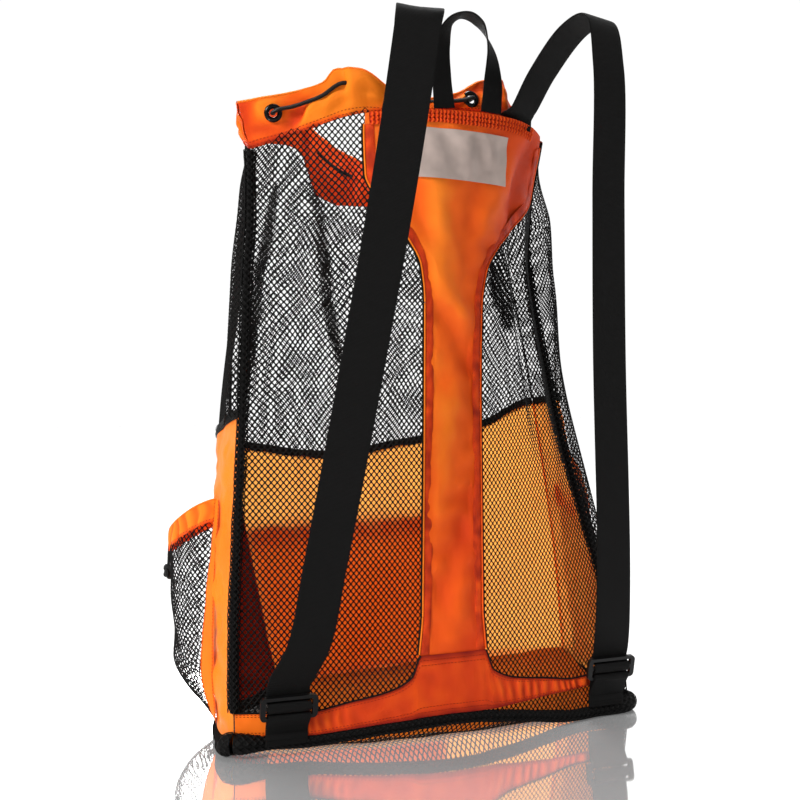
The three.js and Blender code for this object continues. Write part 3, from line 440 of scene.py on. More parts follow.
def ripple(x, y, size, seed):
    """Smooth crumples of about the given size, from -1 to 1, the same on each run."""
    rng = np.random.default_rng(seed)
    total = 0
    for _ in range(RIPPLE_WAVES):
        angle, phase, bend = rng.uniform(0, 2 * np.pi, 3)
        length = size * rng.uniform(0.6, 1.6)
        u = (x * np.cos(angle) + y * np.sin(angle)) * 2 * np.pi / length
        v = (y * np.cos(angle) - x * np.sin(angle)) * 2 * np.pi / length
        total = total + np.sin(u + phase + 1.3 * np.sin(0.6 * v + bend))
    return total / math.sqrt(RIPPLE_WAVES) / 1.4


class Patch:
    """A curved sheet read by two flat coordinates, with its outward normals, from points on a grid."""

    def __init__(self, place, span, rise, step=0.005):
        self.span, self.rise = span, rise
        self.n = max(3, int((span[1] - span[0]) / step))
        self.m = max(3, int((rise[1] - rise[0]) / step))
        a, b = np.meshgrid(np.linspace(*span, self.n), np.linspace(*rise, self.m), indexing="ij")
        self.points = place(a, b)
        self.normals = unit(np.cross(np.gradient(self.points, axis=0), np.gradient(self.points, axis=1)))

    def at(self, a, b, off=0.0):
        i = np.clip((a - self.span[0]) / (self.span[1] - self.span[0]) * (self.n - 1), 0, self.n - 1.0001)
        j = np.clip((b - self.rise[0]) / (self.rise[1] - self.rise[0]) * (self.m - 1), 0, self.m - 1.0001)
        i0, j0 = i.astype(int), j.astype(int)
        s, t = (i - i0)[..., None], (j - j0)[..., None]

        def read(grid):
            low = mix(grid[i0, j0], grid[i0 + 1, j0], s)
            high = mix(grid[i0, j0 + 1], grid[i0 + 1, j0 + 1], s)
            return mix(low, high, t)

        return read(self.points) + read(self.normals) * np.asarray(off)[..., None]


def arc_lengths(points):
    """Distances along both directions of a grid of points, as flat cloth coordinates."""
    u = np.linalg.norm(np.diff(points, axis=0), axis=-1).mean(1)
    v = np.linalg.norm(np.diff(points, axis=1), axis=-1).mean(0)
    u = np.concatenate([[0], np.cumsum(u)])
    v = np.concatenate([[0], np.cumsum(v)])
    return np.stack(np.meshgrid(u, v, indexing="ij"), -1)


def put(name, data):
    """A new object in the scene."""
    obj = bpy.data.objects.new(name, data)
    bpy.context.scene.collection.objects.link(obj)
    return obj


STITCH = {"length": 0.0020, "radius": 0.00028, "shade": 0.9}
LOW_STITCH = 0.0002
STITCH_RING = ((1, 0), (0, 1), (-1, 0), (0, -1), (1, 0))


class Piece:
    """Collects the faces of one object."""

    def __init__(self):
        self.points, self.quads, self.uvs, self.shades, self.slots = [], [], [], [], []
        self.count = 0

    def add(self, points, quads, uv, shade=0.0, slot=0):
        self.points.append(points.reshape(-1, 3))
        self.quads.append(quads.reshape(-1, 4) + self.count)
        self.uvs.append(uv.reshape(-1, 2))
        self.shades.append(np.broadcast_to(shade, points.shape[:-1]).reshape(-1))
        self.slots.append(np.full(quads.size // 4, slot))
        self.count += points.size // 3

    def grid(self, points, shade=0.0, slot=0, uv=None, keep=None):
        """A grid of points as one sheet; keep leaves out faces by the middle of each."""
        n, m = points.shape[:2]
        index = np.arange(n * m).reshape(n, m)
        quads = np.stack([index[:-1, :-1], index[1:, :-1], index[1:, 1:], index[:-1, 1:]], -1)
        if keep is not None:
            middle = (points[:-1, :-1] + points[1:, :-1] + points[1:, 1:] + points[:-1, 1:]) / 4
            quads = quads[keep(middle)]
        self.add(points, quads, arc_lengths(points) if uv is None else uv, shade, slot)

    def tube(self, path, radius, sides=8, shade=0.0, slot=0):
        """A round tube along a path."""
        tangent = unit(np.gradient(path, axis=0))
        side = np.cross(tangent, [0, 0, 1])
        side = np.where(np.linalg.norm(side, axis=-1, keepdims=True) < 0.05, [1.0, 0, 0], side)
        side = unit(side)
        top = np.cross(side, tangent)
        angle = np.linspace(0, 2 * np.pi, sides + 1)[None, :, None]
        radius = np.broadcast_to(radius, len(path))[:, None, None]
        ring = side[:, None] * np.cos(angle) + top[:, None] * np.sin(angle)
        self.grid(path[:, None] + ring * radius, shade, slot)

    def stitches(self, path, normals, pitch=0.0032, lift=0.0003):
        """A row of thread stitches along a path, lying on the side that the normals point to."""
        steps = distances(path)
        middles = np.arange(pitch / 2, steps[-1], pitch)
        half = STITCH["length"] / 2
        start, end = (along_path(path, steps, middles + shift) for shift in (-half, half))
        up = unit(along_path(normals, steps, middles))
        side = unit(np.cross(end - start, up)) * STITCH["radius"]
        lift = up * lift
        up = up * STITCH["radius"]
        rings = []
        for base, share in ((start, 0.5), (mix(start, end, 0.5), 1.2), (end, 0.5)):
            ring = [base + lift + (side * a + up * b) * share for a, b in STITCH_RING]
            rings.append(np.stack(ring, 1))
        for k in range(len(middles)):
            self.grid(np.stack([ring[k] for ring in rings]), STITCH["shade"])

    def build(self, name, material, *nodes, slot, more=()):
        points, quads = np.concatenate(self.points), np.concatenate(self.quads).astype(np.int32)
        mesh = bpy.data.meshes.new(name)
        mesh.vertices.add(len(points))
        mesh.vertices.foreach_set("co", points.astype(np.float32).ravel())
        mesh.loops.add(quads.size)
        mesh.loops.foreach_set("vertex_index", quads.ravel())
        mesh.polygons.add(len(quads))
        mesh.polygons.foreach_set("loop_start", np.arange(0, quads.size, 4, dtype=np.int32))
        mesh.polygons.foreach_set("material_index", np.concatenate(self.slots).astype(np.int32))
        uv = np.concatenate(self.uvs)[quads.ravel()].astype(np.float32)
        mesh.uv_layers.new(name="cloth").data.foreach_set("uv", uv.ravel())
        shade = mesh.attributes.new("shade", "FLOAT", "POINT")
        shade.data.foreach_set("value", np.concatenate(self.shades).astype(np.float32))
        mesh.update(calc_edges=True)
        mesh.shade_smooth()
        for item in (material, *more):
            mesh.materials.append(item)
        obj = put(name, mesh)
        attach(obj, BODY)
        if nodes:
            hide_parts(*nodes)
        return obj


# Materials

def new_material(name):
    material = bpy.data.materials.new(name)
    material.use_nodes = True
    nodes, links = material.node_tree.nodes, material.node_tree.links
    return material, nodes, links, nodes["Principled BSDF"]


def color_ramp(nodes, *stops):
    """A colour ramp through (place, colour) stops."""
    ramp = nodes.new("ShaderNodeValToRGB")
    elements = ramp.color_ramp.elements
    while len(elements) < len(stops):
        elements.new(0.5)
    for element, (place, color) in zip(elements, stops):
        element.position = place
        element.color = (*color, 1)
    return ramp


def texture_space(nodes, links, scale):
    """Flat cloth coordinates in metres, stretched by scale."""
    space = nodes.new("ShaderNodeTexCoord")
    mapping = nodes.new("ShaderNodeMapping")
    mapping.inputs["Scale"].default_value = scale
    links.new(space.outputs["UV"], mapping.inputs["Vector"])
    return mapping.outputs["Vector"]


def noise(nodes, links, space, detail=4.0, roughness=0.6):
    node = nodes.new("ShaderNodeTexNoise")
    node.inputs["Scale"].default_value = 1.0
    node.inputs["Detail"].default_value = detail
    node.inputs["Roughness"].default_value = roughness
    links.new(space, node.inputs["Vector"])
    return node.outputs["Fac"]


def wave(nodes, links, space, direction, distortion=0.0):
    node = nodes.new("ShaderNodeTexWave")
    node.bands_direction = direction
    node.inputs["Scale"].default_value = 1.0
    node.inputs["Distortion"].default_value = distortion
    links.new(space, node.inputs["Vector"])
    return node.outputs["Fac"]


def math_node(nodes, links, operation, a, b):
    node = nodes.new("ShaderNodeMath")
    node.operation = operation
    for socket, value in zip(node.inputs, (a, b)):
        if isinstance(value, (int, float)):
            socket.default_value = value
        else:
            links.new(value, socket)
    return node.outputs[0]


def bump(nodes, links, shader, height, strength, distance):
    node = nodes.new("ShaderNodeBump")
    node.inputs["Strength"].default_value = strength
    node.inputs["Distance"].default_value = distance
    links.new(height, node.inputs["Height"])
    links.new(node.outputs["Normal"], shader.inputs["Normal"])
    return node.outputs["Normal"]


def blend(nodes, links, first, second, share):
    """Gives a material's surface a blend of two shaders, with a share of the second."""
    both = nodes.new("ShaderNodeMixShader")
    both.inputs["Fac"].default_value = share
    links.new(first.outputs["BSDF"], both.inputs[1])
    links.new(second.outputs["BSDF"], both.inputs[2])
    links.new(both.outputs["Shader"], nodes["Material Output"].inputs["Surface"])


# Colours of the nylon by its shade, where light falls on it and where light comes through it; the shade holds
# painted shade and painted highlights, from the lit, yellowish colour at 0 to deep shade at 1
NYLON_LIT = (
    (0.0, (1.0, 0.23, 0.012)),
    (0.2, (0.93, 0.120, 0.006)),
    (0.5, (0.70, 0.052, 0.006)),
    (1.0, (0.24, 0.009, 0.005)),
)
NYLON_GLOW = ((0.0, (0.88, 0.40, 0.080)), (0.4, (0.75, 0.13, 0.02)), (1.0, (0.18, 0.008, 0.004)))
MOTTLE = 0.35


def nylon_material(name, through_share):
    """Thin satin nylon that lets light through; shade darkens the thread, and holds the painted shade of
    doubled hems, gathers, creases and shaded sides and the painted highlights where it is low.
    """
    material, nodes, links, shader = new_material(name)
    shade = nodes.new("ShaderNodeAttribute")
    shade.attribute_name = "shade"
    blotch = noise(nodes, links, texture_space(nodes, links, (14, 9, 1)))
    swing = math_node(nodes, links, "MULTIPLY", math_node(nodes, links, "SUBTRACT", blotch, 0.5), MOTTLE)
    level = math_node(nodes, links, "ADD", shade.outputs["Fac"], swing)
    cloth = color_ramp(nodes, *NYLON_LIT)
    links.new(level, cloth.inputs["Fac"])
    links.new(cloth.outputs["Color"], shader.inputs["Base Color"])
    shader.inputs["Roughness"].default_value = 0.45
    shader.inputs["Specular IOR Level"].default_value = 0.10
    fine = texture_space(nodes, links, (2600, 2600, 1))
    weave = math_node(nodes, links, "ADD", wave(nodes, links, fine, "X"), wave(nodes, links, fine, "Y"))
    crease = noise(nodes, links, texture_space(nodes, links, (160, 90, 1)), 6.0, 0.65)
    height = math_node(nodes, links, "ADD", math_node(nodes, links, "MULTIPLY", weave, 0.06), crease)
    normal = bump(nodes, links, shader, height, 0.45, 0.0018)
    through = nodes.new("ShaderNodeBsdfTranslucent")
    glow = color_ramp(nodes, *NYLON_GLOW)
    links.new(level, glow.inputs["Fac"])
    links.new(glow.outputs["Color"], through.inputs["Color"])
    links.new(normal, through.inputs["Normal"])
    blend(nodes, links, shader, through, through_share)
    return material


def dark_material(name, color, roughness, scale, height_scale=0.0006, metal=0.0, specular=0.2, waves=()):
    """A black or grey surface with fine unevenness; waves are (scale, direction) bands of a weave."""
    material, nodes, links, shader = new_material(name)
    grain = noise(nodes, links, texture_space(nodes, links, (scale, scale, scale)))
    low, high = tuple(0.55 * c for c in color), tuple(1.5 * c for c in color)
    tint = color_ramp(nodes, (0.25, low), (0.8, high))
    height = grain
    for stretch, direction in waves:
        band = wave(nodes, links, texture_space(nodes, links, stretch), direction)
        height = math_node(nodes, links, "MULTIPLY", math_node(nodes, links, "ADD", height, 0.25), band)
    links.new(height, tint.inputs["Fac"])
    links.new(tint.outputs["Color"], shader.inputs["Base Color"])
    shader.inputs["Roughness"].default_value = roughness
    shader.inputs["Metallic"].default_value = metal
    shader.inputs["Specular IOR Level"].default_value = specular
    bump(nodes, links, shader, height, 0.6, height_scale)
    return material


NYLON = nylon_material("orange_nylon", 0.07)
NYLON_WALL = nylon_material("orange_nylon_wall", 0.58)
NET = dark_material("black_net", (0.0040, 0.0037, 0.0035), 0.6, 900, specular=0.10)
WEBBING = dark_material("black_webbing", (0.0045, 0.0042, 0.0040), 0.65, 500, 0.0009, specular=0.10,
                        waves=(((0, 300, 1), "Y"), ((560, 0, 1), "X")))
CORD = dark_material("black_cord", (0.007, 0.0065, 0.006), 0.6, 700, 0.0008, specular=0.2,
                     waves=(((350, 350, 1), "DIAGONAL"),))
PLASTIC = dark_material("black_plastic", (0.003, 0.003, 0.003), 0.40, 300, 0.0002, specular=0.25)
ENAMEL = dark_material("black_enamel", (0.02, 0.02, 0.02), 0.22, 200, 0.0001, metal=0.85)
SILVER = dark_material("silver_coating", (0.56, 0.445, 0.395), 0.40, 12, 0.0002, metal=0.20, specular=0.3)


# Nets

DIAMOND = np.array([(0.5, 0), (0.25, 0.25), (0, 0.5), (-0.25, 0.25),
                    (-0.5, 0), (-0.25, -0.25), (0, -0.5), (0.25, -0.25)])
HOLE_CORNER = 0.88


def add_net(piece, patch, inside, scale=1.0, rise=STRAND_RISE, off=0.0, strand=STRAND, shift=0.0):
    """A net of rounded diamond holes over a patch; inside says which holes to keep."""
    wide, tall = NET_WIDE * scale, NET_TALL * scale
    across = np.arange(math.floor(patch.span[0] / wide) - 1, math.ceil(patch.span[1] / wide) + 2)
    up = np.arange(math.floor(2 * patch.rise[0] / tall) - 1, math.ceil(2 * patch.rise[1] / tall) + 2)
    i, j = np.meshgrid(across, up, indexing="ij")
    a, b = (i + 0.5 * (j % 2) + shift) * wide, (j + shift) * tall / 2
    keep = inside(a, b)
    a, b = a[keep][:, None], b[keep][:, None]
    edge = (wide / 2) * (tall / 2) / math.hypot(wide / 2, tall / 2)
    hole = 1 - strand / 2 / edge
    shrink = np.where(np.arange(8) % 2, hole, hole * HOLE_CORNER)
    size = np.array([wide, tall])
    rim = DIAMOND * size
    inner = rim * shrink[:, None]
    outer_points = patch.at(a + rim[:, 0], b + rim[:, 1], off + rise + 0 * a)
    inner_points = patch.at(a + inner[:, 0], b + inner[:, 1], off - rise + 0 * a)
    points = np.stack([outer_points, inner_points], 1)
    flat = np.concatenate([rim, inner])
    cells = np.arange(len(a))[:, None] * 16
    k = np.arange(8)
    quads = np.stack([cells + k, cells + (k + 1) % 8, cells + 8 + (k + 1) % 8, cells + 8 + k], -1)
    uv = np.stack([a + flat[:, 0], b + flat[:, 1]], -1)
    piece.add(points, quads, uv)


def side_run(side, index, h):
    """How far along its side a wall has gone at one of its corners."""
    axis, sense = RUN[side]
    return sense * corner(SIDES.index(side) + index, h)[axis]


# How far a net that hangs loose wanders from its straight rows, and where on the wall it does
LOOSE = {"wander": 0.0026, "low": 0.26, "high": 0.535, "fade": 0.05}


def wall_patch(side, rise):
    heights = np.linspace(0, 1, 30)
    span = (side_run(side, 0, heights).min(), side_run(side, 1, heights).max())

    def place(a, b):
        inner = np.minimum(b - LOOSE["low"], LOOSE["high"] - b)
        loose = clamp(inner / LOOSE["fade"]) * LOOSE["wander"]
        return wall_at(side, a + loose * ripple(a, b, 0.09, 15), b + loose * ripple(a, b, 0.07, 16))
    return Patch(place, span, rise)


def between_seams(side, margin=0.002):
    """Test for points of a wall that lie between its corner seams and below the rim."""
    def inside(a, b):
        h = b / rim_height(side, 0.5)
        clear = (a > side_run(side, 0, h) + margin) & (a < side_run(side, 1, h) - margin)
        return clear & (b > WALL_FOOT - BINDING["tuck"])
    return inside


def spine_edge(sign, z):
    return sign * column(SPINE, "z", "left" if sign < 0 else "right", z)


NET_TUCK = 0.004
RIM_CLEAR = 0.0005


def make_back_nets():
    patch = wall_patch("back", NET_RISE["back"])
    shape = between_seams("back")
    foot = SPINE["z"][0]
    left, right = SECTIONS["blX"][-1], SECTIONS["brX"][-1]
    for sign, name in ((-1, "left"), (1, "right")):
        def inside(a, b):
            reach = np.where(b < foot, 0, np.abs(spine_edge(sign, b)) - NET_TUCK)
            rim = rim_height("back", clamp((a - left) / (right - left)))
            return shape(a, b) & (sign * a > reach) & (b < rim - RIM_CLEAR) & (b > roll_height(a))
        piece = Piece()
        add_net(piece, patch, inside)
        piece.build(f"back_net_{name}", NET, f"back_mesh_{name}", slot="mesh")


# Pleats of the front net, from one point of it to another, where it lies in several layers
PLEATS = records(
    "x0 z0 x1 z1 width layers",
    (-0.104, 0.520, -0.130, 0.290, 0.0065, 2),
    (-0.078, 0.540, -0.016, 0.310, 0.0065, 2),
    (0.135, 0.495, 0.168, 0.375, 0.0130, 2),
)


def in_pleat(row):
    """Test for points of a wall that lie in a pleat."""
    run, rise = row["x1"] - row["x0"], row["z1"] - row["z0"]
    length = math.hypot(run, rise)

    def inside(a, b):
        x, z = -a - row["x0"], b - row["z0"]
        along = (x * run + z * rise) / length
        across = (x * rise - z * run) / length
        wide = row["width"] * np.sqrt(arch(clamp(along / length)))
        return np.abs(across) < wide
    return inside


FAR_NET = {"scale": 1.12, "strand": 0.0008, "layer": 0.002, "seamClear": 0.0005}


def make_front_net():
    patch = wall_patch("front", NET_RISE["front"])
    shape = between_seams("front", FAR_NET["seamClear"])

    def inside(a, b):
        h = b / rim_height("front", 0.5)
        run0, run1 = side_run("front", 0, h), side_run("front", 1, h)
        t = clamp((a - run0) / (run1 - run0))
        above = b > bucket_top("front", t) - BINDING["tuck"]
        return shape(a, b) & above & (b < rim_height("front", t) - RIM_CLEAR)
    piece = Piece()
    add_net(piece, patch, inside, FAR_NET["scale"], strand=FAR_NET["strand"])
    for row in PLEATS:
        for layer in range(1, row["layers"] + 1):
            shift = layer / (row["layers"] + 1)
            add_net(piece, patch, in_pleat(row), FAR_NET["scale"], off=FAR_NET["layer"] * layer,
                    shift=shift)
    piece.build("front_net", NET, "front_mesh", slot="mesh")


SIDE_REACH = 0.24
SIDE_STEP = 0.004
SIDE_CLEAR = 0.003
NET_STRIP = 0.38


def make_side_net(side):
    """The net of a side wall, laid out along the wall from its back seam."""
    sense = 1 if side == "right" else -1
    order = np.linspace(0, 1, 200)[::sense]

    def shares(a, b):
        t = np.empty_like(a)
        for j in range(a.shape[1]):
            h = b[0, j] / rim_height(side, order)
            line = wall(side, order, h, puff(side, order, h)[:, None])
            t[:, j] = np.interp(sense * a[:, j], distances(line), order)
        return t

    def place(a, b):
        t = shares(a, b)
        h = b / rim_height(side, t)
        return wall(side, t, h, puff(side, t, h)[..., None])

    span = (0, SIDE_REACH) if sense > 0 else (-SIDE_REACH, 0)
    rise = NET_RISE["side"]
    patch = Patch(place, span, rise, SIDE_STEP)
    known = shares(*np.meshgrid(np.linspace(*span, patch.n), np.linspace(*rise, patch.m), indexing="ij"))

    def inside(a, b):
        i = np.rint(clamp((a - span[0]) / SIDE_REACH) * (patch.n - 1)).astype(int)
        j = np.rint(clamp((b - rise[0]) / (rise[1] - rise[0])) * (patch.m - 1)).astype(int)
        t = known[i, j]
        covered = b > bucket_top(side, t) - BINDING["tuck"]
        if side == "right":
            covered |= (t < NET_STRIP) & (b > WALL_FOOT)
        clear = (t > SIDE_CLEAR) & (t < 1 - SIDE_CLEAR)
        return clear & covered & (b < rim_height(side, t) - RIM_CLEAR)
    piece = Piece()
    add_net(piece, patch, inside)
    piece.build(f"{side}_net", NET, f"side_mesh_{side}", slot="mesh")


# The net under the bag: its height, crumples and reach, the skirt that rises to the back, and its clearances
BASE_NET = {"z": 0.0012, "crumple": 0.0008, "x": (-0.195, 0.245), "y": (-0.125, 0.112), "step": 0.003}
BASE_CLEAR = {"back": 0.0005, "right": 0.003, "front": 0.003, "left": 0.003}
SKIRT = 0.020


def climb(x):
    """How far the band has climbed to the right, from 0 to 1."""
    s = clamp((x - BAND_CLIMB["from"]) / (BAND_CLIMB["to"] - BAND_CLIMB["from"]))
    return s * s * (3 - 2 * s)


def roll_height(x):
    """Height of the middle of the base roll along the back, just below the band on the left."""
    return column(BASE_BAND, "x", "low", np.abs(x)) - BASE_ROLL - BAND_CLIMB["roll"] * climb(x)


def make_base_net():
    shares = np.linspace(0, 1, 40)
    foot = surface("back", shares, 0 * shares)

    def place(a, b):
        near = 1 - clamp((b - np.interp(a, foot[:, 0], foot[:, 1])) / SKIRT)
        z = BASE_NET["z"] + BASE_NET["crumple"] * ripple(a, b, 0.06, 3) + roll_height(a) * near ** 2
        return np.stack(np.broadcast_arrays(a, b, z), -1)

    patch = Patch(place, BASE_NET["x"], BASE_NET["y"], BASE_NET["step"])

    def inside(a, b):
        within = np.ones(a.shape, bool)
        for side in SIDES:
            t = np.linspace(0, 1, 25)
            edge = surface(side, t, 0 * t)[:, :2]
            for (x0, y0), (x1, y1) in zip(edge[:-1], edge[1:]):
                off = ((x1 - x0) * (b - y0) - (y1 - y0) * (a - x0)) / math.hypot(x1 - x0, y1 - y0)
                within &= off > BASE_CLEAR[side]
        return within
    piece = Piece()
    add_net(piece, patch, inside)
    piece.build("base_net", NET, "base_mesh", slot="mesh")


# Rolled seams: the net round them, the dark core as a share of the radius, and how uneven they are
ROLL = {"net": 0.95, "rise": 0.0004, "strand": 0.0011, "step": 0.0025, "uneven": 0.08, "waves": 0.05}
CORE = {"corner": 0.66, "base": 0.92}


def roll_patch(path, out, radius):
    """A patch wrapped round a path: the first coordinate goes round it, the second along it."""
    steps = distances(path)
    tangent = unit(np.gradient(path, axis=0))
    out = unit(out - tangent * np.sum(out * tangent, -1, keepdims=True))
    side = np.cross(tangent, out)
    round_ = 2 * np.pi * float(np.mean(radius))

    def place(a, b):
        angle = (a / round_ * 2 * np.pi)[..., None]
        r = np.interp(b, steps, np.broadcast_to(radius, len(path)))[..., None]
        middle, away, beside = (along_path(values, steps, b) for values in (path, out, side))
        return middle + (away * np.cos(angle) + beside * np.sin(angle)) * r
    return Patch(place, (0, round_), (0, steps[-1]), ROLL["step"])


def add_roll(piece, path, out, radius, core_share):
    """A rolled seam: a dark core inside layers of net."""
    core = roll_patch(path, out, core_share * radius)
    piece.grid(core.points)
    outer = roll_patch(path, out, radius)
    add_net(piece, outer, lambda a, b: (a > 0) & (a <= outer.span[1]) & (b > 0) & (b < outer.rise[1]),
            ROLL["net"], ROLL["rise"], strand=ROLL["strand"])


SEAM_NAMES = ["back_left", "back_right", "front_right", "front_left"]
SEAM_THIN = {"from": 0.78, "over": 0.08, "share": 0.2}


def make_corner_seams():
    for index, name in enumerate(SEAM_NAMES):
        rim = rim_height(SIDES[index], 0)
        foot = BASE_BAND["high"][-1] if name == "back_left" else WALL_FOOT
        h = np.linspace(foot / rim, 1, 140)
        side, other = SIDES[index], SIDES[index - 1]
        path = surface(side, np.zeros_like(h), h)
        out = wall_normal(side, np.zeros_like(h), h) + wall_normal(other, np.ones_like(h), h)
        front = name.startswith("front")
        uneven = 1 + ROLL["uneven"] * ripple(h * rim, 0 * h, ROLL["waves"], index)
        radius = (FRONT_SEAM if front else SEAM_RADIUS) * uneven
        if name == "back_right":
            radius = radius * mix(1, SEAM_THIN["share"], clamp((h - SEAM_THIN["from"]) / SEAM_THIN["over"]))
        piece = Piece()
        if front:
            low = path[:, 2] < bucket_top(side, 0.0)
            # Painted shade: the plain seam at the front left is darkened to match the shaded side panel
            # beside it.
            piece.tube(path[low], PLAIN_SEAM, 8, 0.0 if name == "front_right" else 0.7, 1)
            path, out, radius = path[~low], out[~low], radius[~low]
        add_roll(piece, path, out, radius, CORE["corner"])
        piece.build(f"rolled_seam_{name}", NET, f"seam_{name}", slot="mesh", more=(NYLON_WALL,))


BASE_BACK = -0.076
EAR = {"out": 0.006, "reach": 0.022, "swell": 0.7}


def make_base_roll():
    shares = np.linspace(0, 1, 60, endpoint=False)
    zeros = np.zeros_like(shares)
    path = np.concatenate([surface(side, shares, zeros) for side in SIDES])
    out = np.concatenate([wall_normal(side, shares, zeros) for side in SIDES]) * [1, 1, 0]
    window = np.hanning(9) / np.hanning(9).sum()
    wrap = [np.concatenate([values[-4:], values, values[:4]]) for values in (path, out)]
    path, out = (np.stack([np.convolve(v[:, k], window, "valid") for k in range(3)], -1) for v in wrap)
    near = 0
    for index in range(4):
        x, y = corner(index, 0.0)
        near = near + bell(np.hypot(path[:, 0] - x, path[:, 1] - y) / EAR["reach"])
    out = unit(out)
    uneven = ROLL["uneven"] * ripple(path[:, 0], path[:, 1], ROLL["waves"], 9)
    radius = BASE_ROLL * (1 + EAR["swell"] * near + uneven)
    path = path + out * (EAR["out"] * near)[:, None]
    behind = path[:, 1] < BASE_BACK
    path[:, 2] = np.where(behind, np.maximum(radius, roll_height(path[:, 0])), radius)
    closed = [np.concatenate([values, values[:1]]) for values in (path, out)]
    piece = Piece()
    add_roll(piece, *closed, np.append(radius, radius[0]), CORE["base"])
    piece.build("rolled_base_seam", NET, "base_seam", slot="mesh")


def make_bindings():
    angle = np.linspace(0, 2 * np.pi, 13)
    for side in ("right", "front", "left"):
        t = np.linspace(BINDING["end"], 1 - BINDING["end"], 90)
        middle = bucket_top(side, t)
        piece = Piece()
        rings = []
        for a in angle:
            z = middle + np.sin(a) * BINDING["height"] / 2
            off = BINDING["off"] + np.cos(a) * BINDING["thick"] / 2
            off = off + BINDING["uneven"] * ripple(t, 0 * t + a, 0.1, 5)
            rings.append(wall(side, t, z / rim_height(side, t), off[:, None]))
        piece.grid(np.stack(rings, 1))
        for z in (-BINDING["stitchRow"], BINDING["stitchRow"]):
            path = wall(side, t, (middle + z) / rim_height(side, t), BINDING["stitchOff"])
            piece.stitches(path, wall_normal(side, t, middle / rim_height(side, t)))
        piece.build(f"binding_tape_{side}", WEBBING, f"binding_{side}", slot="mesh")


# Nylon

def grid_normals(points):
    return unit(np.cross(np.gradient(points, axis=0), np.gradient(points, axis=1)))


def flat_grid(columns, rows):
    return np.meshgrid(np.linspace(0, 1, columns), np.linspace(0, 1, rows), indexing="ij")


# The foot of the front panel where it lies over the floor of the bag
SLUMP = {"from": 0.0125, "to": 0.003, "ends": 0.008, "endReach": 0.09, "reach": 0.92, "seamClear": 0.012,
         "crumple": 0.0015, "lowest": 0.0022}
PANEL = {"seamClear": 0.001, "tuck": 0.002, "large": 0.0022, "small": 0.0010, "layer": 0.0003}
PANEL_RUN = {"front": 0.33, "left": 0.16, "right": 0.16}
PANEL_COLUMNS = {"front": 130, "left": 70, "right": 70}


def slump(u):
    """Points of the front panel's foot, from the front wall towards the back."""
    rows = np.linspace(0, 1, u.shape[1])[None, :]
    t = mix(SLUMP["seamClear"], 1 - SLUMP["seamClear"], u)
    near = surface("front", t, 0.0 * t)
    far = surface("back", 1 - t, 0.0 * t)
    points = mix(near, far, (SLUMP["reach"] * rows)[..., None])
    end = bell(np.minimum(u, 1 - u) / SLUMP["endReach"])
    height = mix(SLUMP["from"] + SLUMP["ends"] * end, SLUMP["to"], rows)
    height = height + SLUMP["crumple"] * ripple(points[..., 0], points[..., 1], 0.06, 13)
    points[..., 2] = np.maximum(height, SLUMP["lowest"])
    return points


def make_wall_panels():
    for side, name in (("right", "side_panel_right"), ("front", "front_panel"), ("left", "side_panel_left")):
        u, v = flat_grid(PANEL_COLUMNS[side], 90)
        t = mix(PANEL["seamClear"], 1 - PANEL["seamClear"], u)
        z = mix(WALL_FOOT - PANEL["tuck"], bucket_top(side, t), v)
        points = wall(side, t, z / rim_height(side, t), 0)
        fade = np.minimum(1, 16 * np.minimum(u * (1 - u), v * (1 - v)))
        run = u * PANEL_RUN[side]
        crumple = PANEL["large"] * ripple(run, z, 0.07, 11) + PANEL["small"] * ripple(run, z, 0.025, 12)
        points = points + grid_normals(points) * (crumple * fade)[..., None]
        piece = Piece()
        # Painted shade: the left panel's sheet is dark red towards its front, where its inside lies in shade
        # behind the pocket.
        shade = 0.85 * clamp((0.66 - t) * 12) if side == "left" else 0.05
        if side == "front":
            # Painted shade: the front panel is darker at its foot, up to just above the pocket's lower edge,
            # to match the doubled cloth of the pocket.
            shade = 0.22 * clamp((FRONT_POCKET["low"] + 0.010 - z) / 0.006)
            piece.grid(slump(u), 0.0)
        if side == "left":
            # An outer copy of the left panel in the lit colour lies over it, so it looks lit from outside and
            # painted in shade from inside.
            piece.grid(points + grid_normals(points) * PANEL["layer"], 0.0, 1)
        piece.grid(points, shade)
        piece.build(f"{name}_cloth", NYLON_WALL, name, slot="nylon", more=(NYLON,))


def make_front_pocket():
    u, v = flat_grid(90, 60)
    z = mix(FRONT_POCKET["low"], FRONT_POCKET["high"], v)
    h = z / rim_height("front", 0.5)
    right, left = corner(2, h)[0], corner(3, h)[0]
    width = right - left
    t = mix((right - FRONT_POCKET["right"]) / width, 1 - FRONT_POCKET["seamClear"] / width, u)
    swell = FRONT_POCKET["off"] + FRONT_POCKET["belly"] * arch(u) * arch(v)
    points = wall("front", t, z / rim_height("front", t), swell[..., None])
    crumple = FRONT_POCKET["crumple"] * ripple(u * 0.2, z, 0.05, 21)
    points = points + grid_normals(points) * crumple[..., None]
    piece = Piece()
    # Painted shade: the pocket is darker than the wall behind it, and its hem darker still, as the doubled
    # cloth looks against the light.
    hem = clamp((z - FRONT_POCKET["high"] + FRONT_POCKET["hem"]) / 0.004)
    piece.grid(points, 0.20 + 0.50 * hem)
    normals = grid_normals(points)
    for row in (50, 58):
        piece.stitches(points[:, row], normals[:, row])
    for column_index in (1, -2):
        piece.stitches(points[column_index], normals[column_index])
    piece.build("front_pocket_cloth", NYLON_WALL, "front_pocket", slot="nylon")


